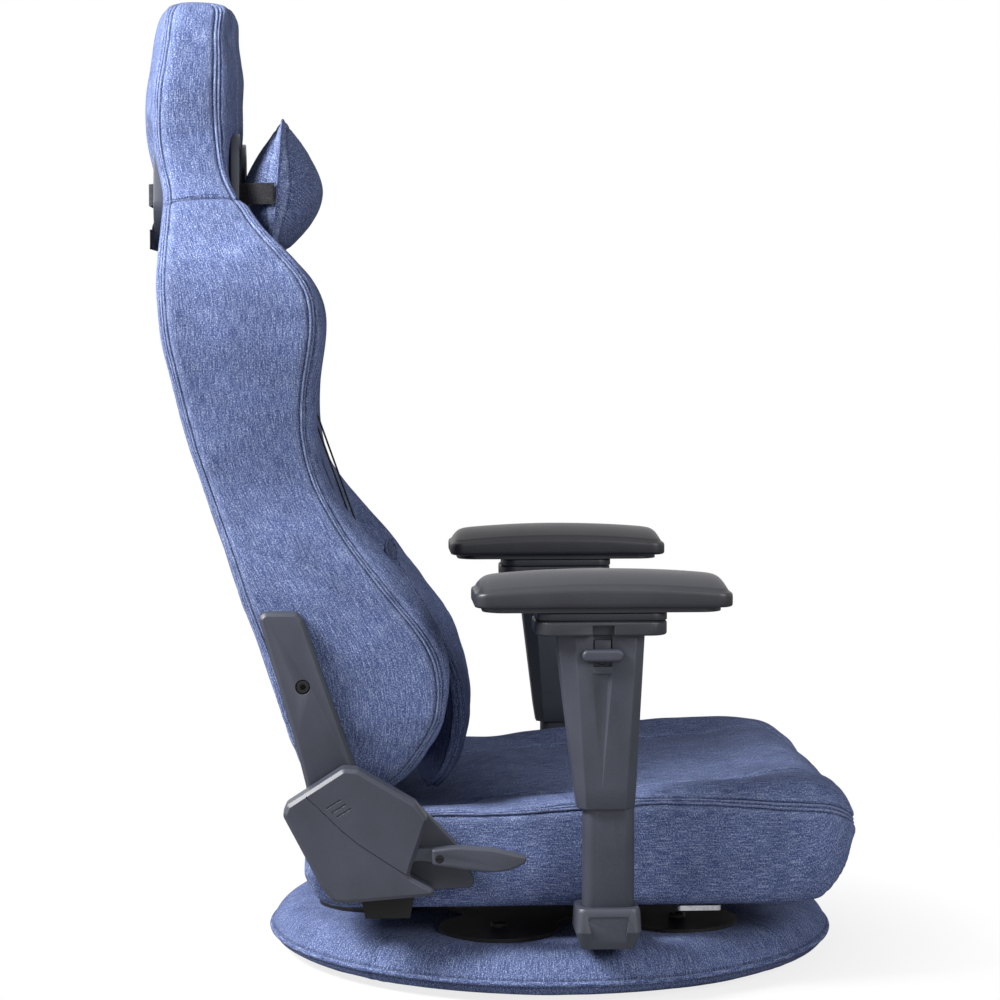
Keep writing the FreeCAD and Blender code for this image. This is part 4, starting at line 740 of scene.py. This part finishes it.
def cut_belt_holes(obj):
    """Opens the cover behind the belt bezels and joins front and rear edges through the foam.

    The cut edge is moved on to an even line 4 mm outside the opening, under the bezel's flange.
    """
    work = bmesh.new()
    work.from_mesh(obj.data)
    work.faces.ensure_lookup_table()
    centres = np.array([f.calc_center_median() for f in work.faces]) / MM
    inside = hole_distance(centres[:, 1], centres[:, 2]) < 5.0
    bmesh.ops.delete(work, geom=[f for f, hit in zip(work.faces, inside) if hit],
                     context="FACES")
    edge = list({v for e in work.edges if e.is_boundary for v in e.verts})
    y, z = np.array([v.co[1:] for v in edge]).T / MM
    for _ in range(3):
        d = hole_distance(y, z)
        across = (hole_distance(y + 0.1, z) - d) * 10
        up = (hole_distance(y, z + 0.1) - d) * 10
        y, z = y + (4.0 - d) * across, z + (4.0 - d) * up
    for vertex, side, level in zip(edge, y, z):
        vertex.co[1:] = (side * MM, level * MM)
    for sign in (1, -1):
        rim = [e for e in work.edges if e.is_boundary and e.verts[0].co.y * sign > 0]
        bmesh.ops.bridge_loops(work, edges=rim)
    bmesh.ops.recalc_face_normals(work, faces=work.faces)
    work.to_mesh(obj.data)
    work.free()


# Seat

SEAT = [
    (-261, 113, 123, 124.5, 126, 127, 220), (-257, 103, 134, 136, 138, 139, 235),
    (-246, 92, 150, 153, 151, 152, 243), (-222, 86.5, 168, 171, 160, 161, 247.5),
    (-172, 86, 181, 184, 163, 165, 249), (-128, 86, 184, 187, 168, 171, 250),
    (-75, 86, 184, 188, 180, 183.5, 250), (0, 86, 188, 196, 186, 190, 250),
    (70, 86, 193, 203, 189.5, 194, 250), (132, 86, 193, 208.5, 194.5, 199, 250),
    (190, 86, 189, 211, 200, 203.5, 249.5), (226, 86, 186, 211, 206, 209, 248),
    (254, 89, 184, 208.5, 206, 208.5, 245), (273, 103, 180, 201.5, 199.5, 201.5, 239),
    (287, 124, 173, 190, 189, 190.5, 229), (296, 142, 163, 175, 174, 175, 208),
]


def seat_sections(table):
    """Cross-sections of the seat from the middle of its underside to the middle of its top."""
    x, low, seam, crest, panel, centre, half = table.T
    curl = np.minimum(9.0, (seam - low) / 4)
    crest_y, panel_y, foot_y = half - 36, half - 98, half - 7

    def at(y, z):
        return stacked(x, y, z)
    return sections(
        at(0, low),
        ("under", at((foot_y - curl) / 2, low), at(foot_y - curl, low), 16),
        ("curl", at(foot_y - curl * 0.35, low + curl * 0.35), at(foot_y, low + curl), 6),
        ("side", at(half, low + 0.55 * (seam - low)), at(half - 5, seam), 26),
        ("top", at(half - 17, seam + 0.74 * (crest - seam)), at(crest_y, crest), 16),
        ("slope", at((crest_y + panel_y) / 2 + 6, (crest + panel) / 2 + 1.5),
         at(panel_y, panel), 18),
        ("panel", at(panel_y / 2, centre - 0.25 * (centre - panel)), at(0, centre), 26))


def seat():
    """Seat shell: cross-sections along a spline, lined up with four seams, filled, then sewn."""
    points, begins = seat_sections(through_stations(SEAT, 200))
    columns = both_sides([begins["top"], begins["panel"]], points.shape[1])
    points, columns, distances = lined_up(points, columns, (36, 12, 30, 12, 36))
    points = stuffed(points, columns, 1.8, 3.0)
    normals = outer_normals(points)
    height, painted_shading = sewn(points, distances, 21, swell=1.4)
    height += 0.6 * waves(points, 95.0, seed=31) * (points[..., 2] > 88)
    height += 0.8 * waves(points * [1, 1, 0.3], 42.0, seed=33) * bell(points[..., 0] - 262, 30)
    points = points + normals * height[..., None]
    whole, painted_shading = with_ends(points, painted_shading, 0, (2.0, 7), (4.0, 12))
    cover("seat_cover", whole, painted_shading, columns, "seat", 0.95, "seat_cushion")
    stitches("seat_stitching", double_rows(points, normals, distances, slice(6, -2)), "seat")


# Base

BASE_SEAMS = (-131.5, -41.0, 48.5, 139.0)
CORD_RING, CORD_LEVEL, CORD_RADIUS = 300.2, 21.5, 2.8
TOP_EDGE, HEM_LENGTH_RADIUS = 262.0, 290.0


def base_cover():
    """Surface of revolution: top disc, rounded side band, corded rim and turned-in hem."""
    profile = [(0, 50), (60, 50), (140, 50.2), (215, 50.6), (250, 50.4), (262, 50), (271, 49),
               (279, 46.6), (284, 44.2), (289, 40.5), (294, 35), (297.8, 28.5), (299.8, 23.5),
               (299.6, 18.5), (297, 13.8), (290, 9.2), (280, 6.8), (268, 6.2), (250, 6.4),
               (236, 6.6)]
    outline = through_stations(profile, 210)[2:]
    radius, level = outline.T
    run = running_length(outline)[:, None]
    angle = np.linspace(0, 2 * np.pi, 901)[:-1]
    r, a = np.meshgrid(radius, angle, indexing="ij")
    points = stacked(r * np.cos(a), r * np.sin(a), level[:, None])
    slope = np.arctan2(np.gradient(radius), np.gradient(level))[:, None]
    normals = stacked(np.cos(slope) * np.cos(a), np.cos(slope) * np.sin(a), np.sin(slope))
    rim = np.abs(run - np.interp(CORD_LEVEL, level[::-1], run[::-1, 0]))
    outer = 1 / (1 + np.exp(-(r - TOP_EDGE) / 3))
    height = -0.9 * bell(rim - 3.6, 1.0) + 0 * a
    # Painted shade beside the corded rim.
    painted_shading = -0.7 * bell(rim - 3.8, 1.2) + 0 * a
    sewn_rows = (radius > TOP_EDGE) & (level > 26)
    lines = []
    for place in BASE_SEAMS:
        across = ((a - math.radians(place) + np.pi) % (2 * np.pi) - np.pi) * r
        height += (-0.9 * bell(across, 0.9) + 0.6 * bell(np.abs(across) - 7, 5)) * outer
        # Painted shade along each radial seam.
        painted_shading -= 0.6 * bell(across, 0.9) * outer
        column = (round(place % 360 / 360 * len(angle)) + 3) % len(angle)
        lines.append((points[sewn_rows, column], normals[sewn_rows, column]))
    height += 0.5 * waves(points, 80.0, seed=44) * (r > 20) * (level[:, None] > 8)
    height += 0.35 * waves(points, 14.0, seed=45) * np.exp(-rim / 9.0)
    points = points + normals * height[..., None]
    flat = run < np.interp(284.0, radius[:120], run[:120, 0])
    u = np.where(flat, r * np.cos(a), HEM_LENGTH_RADIUS * a)
    v = np.where(flat, r * np.sin(a), run + 400.0)
    u = np.hstack([u, np.where(flat, u[:, :1], HEM_LENGTH_RADIUS * 2 * np.pi)])
    obj = grid_object("base_cover", points, denim, u=u, v=np.hstack([v, v[:, :1]]),
                      painted_shading=np.clip(painted_shading, -1, 1))
    dressed(obj, "base", "denim_fabric", "base_pad")
    stitches("base_stitching", lines, "base")
    path = stacked(CORD_RING * np.cos(angle), CORD_RING * np.sin(angle), CORD_LEVEL)
    piping("base_rim_piping", path, CORD_RADIUS, "base", "base_piping", away=(0.0, 0.0, 1.0))


def piping(name, path, radius, body, *stands_for, away=(1.0, 0.02, 0.01)):
    """Corded edge: a round tube carried along a closed path; away is never along the path."""
    forward = unit(np.roll(path, -1, axis=0) - np.roll(path, 1, axis=0))
    side = unit(np.cross(forward, away))
    up = np.cross(side, forward)
    t = np.linspace(0, 2 * np.pi, 11)[:-1, None]
    rings = path[:, None] + radius * (side[:, None] * np.cos(t) + up[:, None] * np.sin(t))
    rows, cols = rings.shape[:2]
    faces, corners = quads(rows, cols, rows)
    step = np.linalg.norm(np.roll(rings, -1, axis=0)[:, 0] - rings[:, 0], axis=1).mean()
    uvs = np.stack([stacked(b * 1.2, a * step) for a, b in corners], axis=1).reshape(-1, 2)
    obj = outward(make_mesh(name, rings.reshape(-1, 3), faces.tolist(), uvs, denim))
    dressed(obj, body, "piping_fabric", *stands_for)


# Head pillow and lumbar cushion

PILLOW_HALF, PILLOW_TOP, PILLOW_BOTTOM = 133.0, 880.5, 739.5
PILLOW_FRONT, PILLOW_REAR = 46.0, -38.5


def pillow_seam(y, s):
    """Seam sheet of the pillow: s runs from -1 at the lower edge to 1 at the upper one."""
    middle = (PILLOW_TOP + PILLOW_BOTTOM) / 2
    reach = (PILLOW_TOP - PILLOW_BOTTOM) / 2 * (1 - 0.11 * (np.abs(y) / PILLOW_HALF) ** 3)
    return -288.5 + 5.2 * s, middle + reach * s


def head_pillow():
    """Pillow of two bulging faces that meet in a seam with pointed corners."""
    y = PILLOW_HALF * np.sin(np.linspace(-np.pi / 2, np.pi / 2, 141))[1:-1, None]
    t = np.linspace(0, 2 * np.pi, 181)[None, :-1]
    s = np.cos(t)
    fat = np.sqrt(1 - np.abs(y / PILLOW_HALF) ** 2.4)
    blunt = np.where(s > 0, 0.35, 0.75)
    fullest = np.hypot(1, blunt)
    crest = (fullest - np.hypot(s + 0.06 * (1 - s * s), blunt)) / (fullest - blunt)
    depth = np.where(np.sin(t) >= 0, PILLOW_FRONT, PILLOW_REAR)
    swell = np.maximum(crest, 0) ** 0.85 * depth * fat
    x, z = pillow_seam(y, s)
    points = stuffed(stacked(x + swell, y, z), [0, 90], 1.5, 1.5)
    normals = outer_normals(points)
    away = np.minimum(np.abs(swell) * 1.1, (1 - np.abs(s)) * 72)
    edge = np.minimum(away, (PILLOW_HALF - np.abs(y)) * 1.5)
    crease = waves(points * [0.4, 1, 1], 30.0, seed=51, octaves=3) * np.exp(-edge / 20)
    height = 1.3 * crease * np.minimum(edge / 4, 1) - 0.8 * bell(edge - 8.5, 1.2)
    # Painted shade in the crease inside the pillow's edge and a painted highlight just within the
    # edge.
    painted_shading = np.clip(-0.55 * bell(edge - 8.5, 1.2) + 0.35 * bell(edge - 4, 2.5), -1, 1)
    points = points + normals * height[..., None]
    cover("head_pillow_cover", points, painted_shading, [45, 135], "pillow", 0.8, "head_pillow")
    s = np.linspace(-1, 1, 81)[:-1]
    one = np.ones_like(s)
    y = np.concatenate([s, one, -s, -one]) * PILLOW_HALF
    x, z = pillow_seam(y, np.concatenate([one, -s, -one, s]))
    piping("head_pillow_piping", stacked(x, y, z), 1.2, "pillow")


LUMBAR = [
    (190, 118, -136, -127, -121, -142), (196, 130, -131, -121, -110, -147),
    (210, 138, -122, -112, -99, -151), (235, 140, -114, -103, -92, -150.5),
    (270, 141, -110, -100, -88, -150.1), (300, 141, -113, -103, -90.5, -154.2),
    (328, 141, -123, -114, -98, -162), (355, 141, -136, -126, -109, -176),
    (380, 140, -149, -140, -127, -183), (402, 139, -161, -153, -142, -186),
    (417, 134, -169, -162, -155, -183), (425, 124, -173, -168, -165, -177),
]


def lumbar_cushion():
    """Bowed cushion: level sections with a narrow gusset between two corded edges."""
    z, half, rear, front, front_mid, rear_mid = through_stations(LUMBAR, 110).T

    def at(x, y):
        return stacked(x, y, z)
    points, begins = sections(
        at(rear_mid, 0),
        ("rear", at(rear_mid + 0.27 * (rear - rear_mid), half * 0.5), at(rear, half), 26),
        ("gusset", at((rear + front) / 2, half + 2), at(front, half), 8),
        ("front", at(front_mid + 0.2 * (front - front_mid), half * 0.55), at(front_mid, 0), 30))
    total = points.shape[1]
    corners = both_sides([begins["gusset"], begins["front"]], total)
    run = arc_length(points, 1)
    points = stuffed(points, corners, 1.2, 1.5)
    normals = outer_normals(points)
    height, painted_shading = sewn(points, [run - run[:, [c]] for c in corners], 61, swell=0.5)
    rearward = normals[..., 0] < -0.5
    height = np.where(rearward, np.minimum(height, -0.4), height)
    height += 0.8 * waves(points, 55.0, seed=63) * ~rearward
    points = points + normals * height[..., None]
    whole, painted_shading = with_ends(points, painted_shading, 2, (2.0, 7), (2.0, 7))
    cover("lumbar_cushion_cover", whole, painted_shading, corners, "lumbar", 0.85, "lumbar_cushion")
    rear_low, front_low, front_high, rear_high = corners
    front_face = points[:, front_low:front_high + 1]
    rear_face = np.concatenate([points[:, rear_low::-1], points[:, :rear_high - 1:-1]], axis=1)
    for label, face in (("front", front_face), ("rear", rear_face)):
        path = np.concatenate([face[:, 0], face[-1, 1:-1], face[::-1, -1], face[0, -2:0:-1]])
        piping("lumbar_%s_piping" % label, evenly(path, 420)[:-1], 1.9, "lumbar")


# Straps

def smooth_corners(path):
    """One corner-cutting pass: every inner corner is replaced by two points on its sides."""
    a, b = path[:-1], path[1:]
    reach = np.linalg.norm(b - a, axis=1, keepdims=True)
    share = np.minimum(0.25, 6.0 / np.maximum(reach, 1e-6))
    near, far = a + (b - a) * share, b - (b - a) * share
    inner = np.stack([near, far], axis=1).reshape(-1, 3)
    return np.vstack([path[:1], inner[1:-1], path[-1:]])


def band(name, path, across, width, body, stands_for):
    """Woven band: a flat rounded section with raised edges carried along a path.

    path is a polyline whose corners are rounded by cutting; across is the way the width lies.
    """
    for _ in range(3):
        path = smooth_corners(path)
    path = evenly(path, max(12, int(running_length(path)[-1] / 2.5)))
    forward = unit(np.gradient(path, axis=0))
    wide = unit(across - forward * (forward @ across)[:, None])
    out = np.cross(wide, forward)
    s = np.linspace(-1, 1, 23)
    face = BAND_THICKNESS / 2 * (1 + 0.18 * (np.abs(s) > 0.82) - 0.1 * (np.abs(s) > 0.97))
    ring = np.vstack([stacked(s * width / 2, face), stacked(s * width / 2, -face)[::-1]])
    rings = path[:, None] + wide[:, None] * ring[:, :1] + out[:, None] * ring[:, 1:]
    dressed(grid_object(name, rings, webbing), body, "black_webbing", stands_for)


BAND_THICKNESS = 1.5
STRAP_X = [-291.0, -302.0, -312.0, -321.0, -345.0, -409.0, -421.0]
STRAP_Y = [-136.3, -135.1, -127.3, -112.3, -105.5, -104.0, -92.0]
STRAP_LEVEL, JOINT_LEVEL = 801.0, 755.0
HOLE_LIP, BEHIND_BEZEL = 775.6, -416.5


def straps():
    """Elastic band of the pillow and the three lumbar bands."""
    half = stacked(STRAP_X, STRAP_Y, STRAP_LEVEL)
    band("pillow_band", np.vstack([half, half[::-1] * (1, -1, 1)]), (0, 0, 1), 22.0, "pillow",
         "pillow_strap")
    for side, y in (("right", -101.0), ("left", 101.0)):
        path = [(-189.3, y, 395.0), (-324.3, y, HOLE_LIP), (BEHIND_BEZEL, y, HOLE_LIP),
                (BEHIND_BEZEL, y, 745.0)]
        band("lumbar_band_" + side, np.array(path), (0, 1, 0), 20.0, "backrest",
             "lumbar_straps")
    path = stacked(BEHIND_BEZEL - 1.7, [-112.0, 0.0, 112.0], JOINT_LEVEL)
    band("lumbar_band_rear", path, (0, 0, 1), 20.0, "backrest", "lumbar_straps")


# Armrest pads

PAD_CENTRE_X, PAD_CENTRE_Y, PAD_LEVEL = 28.5, 288.0, 396.6
PAD_HALF_LENGTH, PAD_HALF_WIDTH = 125.5, 47.0
PAD_EDGE, PAD_EDGE_DROP, PAD_CROWN = 20.9, 6.6, 13.5
PAD_WALL = ((7.0, 0.0), (3.0, 0.01), (1.2, 0.05), (0.3, 0.13), (0, 0.25), (0, 0.5), (0, 0.7),
            (0.2, 0.84), (0.8, 0.93), (1.8, 0.98), (3.2, 1.0))


def rounded_outline(hx, hy, radius):
    """Rectangle with rounded corners, as evenly spaced points."""
    count = 240
    a = (np.arange(count) + 0.5) * 2 * np.pi / count
    x = np.cos(a) * radius + np.sign(np.cos(a)) * (hx - radius)
    y = np.sin(a) * radius + np.sign(np.sin(a)) * (hy - radius)
    return evenly(stacked(np.append(x, x[0]), np.append(y, y[0])), count + 1)[:-1].T


def armrest_pad(sign, label):
    """Moulded pad: straight sides, a small rolled edge and a long shallow crown.

    The wall's rings are (inset, share of the edge's level); the crown's rings shrink inwards.
    """
    def edge_level(x):
        return PAD_EDGE - PAD_EDGE_DROP * (x / PAD_HALF_LENGTH) ** 2
    rings = []
    for inset, share in PAD_WALL:
        x, y = rounded_outline(PAD_HALF_LENGTH - inset, PAD_HALF_WIDTH - inset,
                               14.0 - inset * 0.7)
        rings.append(stacked(x, y, share * edge_level(x)))
    for f in 1 - np.linspace(0.1, 0.985, 34) ** 2:
        x, y = rounded_outline((PAD_HALF_LENGTH - 4.2) * f, (PAD_HALF_WIDTH - 4.2) * f, 11.0 * f)
        crown = PAD_CROWN * (1 - np.abs(y / PAD_HALF_WIDTH) ** 2.2) * (
            1 - np.abs(x / (PAD_HALF_LENGTH - 3.0)) ** 26)
        rings.append(stacked(x, y, edge_level(x) + crown))
    points = np.array(rings) + (PAD_CENTRE_X, sign * PAD_CENTRE_Y, PAD_LEVEL)
    points[..., 2] += 0.12 * waves(points, 60.0, seed=71)
    obj = grid_object("armrest_pad_skin_" + label, points, pad_skin)
    dressed(obj, "pad_" + label, "pad_foam", "armrest_pad_" + label)


# Moulded pieces taken from the frame, with softened edges

def softened(name, width):
    """Copy of a rigid piece whose sharp edges get a small moulded radius."""
    mesh = frame["nodes"][name].data.copy()
    obj = new_object(name + "_moulded", mesh)
    work = bmesh.new()
    work.from_mesh(mesh)
    bmesh.ops.remove_doubles(work, verts=work.verts, dist=2e-6)
    bmesh.ops.dissolve_limit(work, angle_limit=math.radians(0.6), verts=work.verts,
                             edges=work.edges)
    work.to_mesh(mesh)
    work.free()
    mesh.polygons.foreach_set("use_smooth", [True] * len(mesh.polygons))
    configure(obj.modifiers.new("moulded edge", "BEVEL"), width=width * MM, segments=3,
              limit_method="ANGLE", angle_limit=math.radians(24.0), use_clamp_overlap=True,
              harden_normals=True)
    dressed(obj, BODY[name], SLOTS[name], name)


def moulded_pieces():
    for side in ("_right", "_left"):
        for stem, width in (("arm_cover", 0.9), ("armrest_sleeve", 1.0), ("armrest_head", 0.8),
                            ("foot_cap", 1.0), ("rotor_plate", 0.8), ("release_paddle", 0.5),
                            ("mast", 0.5)):
            softened(stem + side, width)
    softened("recline_lever", 0.4)
    softened("belt_bezels", 1.0)


# Studio

FLOOR_REACH = 14.0
SIDE, SHOULDER, FILL, AMBIENT = 140.0, 27.0, 40.0, 0.24
CHAIR_MIDDLE, SHOULDER_POINT = (-0.1, 0, 0.4), (-0.35, -0.2, 0.75)
CAMERA_PLACE, CAMERA_LENS, SENSOR_WIDTH = (-0.2259, -3.0175, 0.6886), 101.28, 36.0
CAMERA_YAW, CAMERA_PITCH = 0.0570, 0.0694


def studio_floor():
    """White floor for the camera with a faint shadow of the object; dull grey for other rays."""
    floor = bpy.data.meshes.new("floor")
    corners = [(x * FLOOR_REACH, y * FLOOR_REACH, 0) for x, y in ((-1, -1), (1, -1), (1, 1), (-1, 1))]
    floor.from_pydata(corners, [], [(0, 1, 2, 3)])
    ground = new_object("floor", floor)
    paper = bpy.data.materials.new("white studio paper")
    paper.use_nodes = True
    tree = paper.node_tree
    tree.nodes.clear()
    dull = node(tree, "ShaderNodeBsdfDiffuse", {"Color": (0.3, 0.3, 0.31, 1)})[0]
    bright = node(tree, "ShaderNodeBsdfDiffuse", {"Color": (0.95, 0.95, 0.95, 1)})[0]
    glow = node(tree, "ShaderNodeEmission", {"Color": (1, 1, 1, 1), "Strength": 1.0})[0]
    place = node(tree, "ShaderNodeTexCoord", {})["Object"]
    far = node(tree, "ShaderNodeVectorMath", {0: place}, operation="LENGTH")["Value"]
    seen = mixed(ranged(far, 0.3, 0.52, 0.8, 1.0), bright, glow)
    camera_ray = node(tree, "ShaderNodeLightPath", {})["Is Camera Ray"]
    node(tree, "ShaderNodeOutputMaterial", {"Surface": mixed(camera_ray, dull, seen)})
    floor.materials.append(paper)


def mixed(share, first, second):
    """Mix of two shaders."""
    return node(share.id_data, "ShaderNodeMixShader", {0: share, 1: first, 2: second})[0]


def lamp(name, place, target, size, power):
    """Square softbox at a place, turned to a target."""
    light = bpy.data.lights.new(name, "AREA")
    configure(light, shape="SQUARE", size=size, energy=power)
    obj = new_object(name, light)
    obj.location = place
    obj.rotation_euler = (Vector(target) - Vector(place)).to_track_quat("-Z", "Y").to_euler()


def surroundings(scene):
    """White background that the camera and glossy and clear surfaces see; dimmer light elsewhere."""
    scene.world = scene.world or bpy.data.worlds.new("studio")
    scene.world.use_nodes = True
    tree = scene.world.node_tree
    tree.nodes.clear()
    ambient, white = (
        node(tree, "ShaderNodeBackground", {"Color": colour, "Strength": strength})[0]
        for colour, strength in (((0.97, 0.98, 1.0, 1), AMBIENT), ((1, 1, 1, 1), 1.0)))
    ray = node(tree, "ShaderNodeLightPath", {})
    seen = combined(ray["Is Camera Ray"], ray["Is Glossy Ray"], "MAXIMUM")
    seen = combined(seen, ray["Is Transmission Ray"], "MAXIMUM")
    node(tree, "ShaderNodeOutputWorld", {"Surface": mixed(seen, ambient, white)})


def studio():
    """Floor, surrounding light, softboxes and camera."""
    scene = bpy.context.scene
    studio_floor()
    surroundings(scene)
    lamp("side softbox", (-2.46, -0.94, 2.35), CHAIR_MIDDLE, 1.1, SIDE)
    lamp("shoulder softbox", (-1.2, -0.8, 1.45), SHOULDER_POINT, 0.5, SHOULDER)
    lamp("front fill", (1.66, -2.4, 1.52), CHAIR_MIDDLE, 1.1, FILL)

    camera = bpy.data.cameras.new("camera")
    configure(camera, sensor_width=SENSOR_WIDTH, lens=CAMERA_LENS, clip_start=0.05,
              clip_end=100.0)
    eye = new_object("camera", camera)
    eye.location = CAMERA_PLACE
    eye.rotation_euler = (math.pi / 2 - CAMERA_PITCH, 0.0, -CAMERA_YAW)
    scene.camera = eye
    scene.view_settings.view_transform = "Standard"


backrest()
seat()
base_cover()
head_pillow()
lumbar_cushion()
straps()
armrest_pad(-1, "right")
armrest_pad(1, "left")
moulded_pieces()
studio()
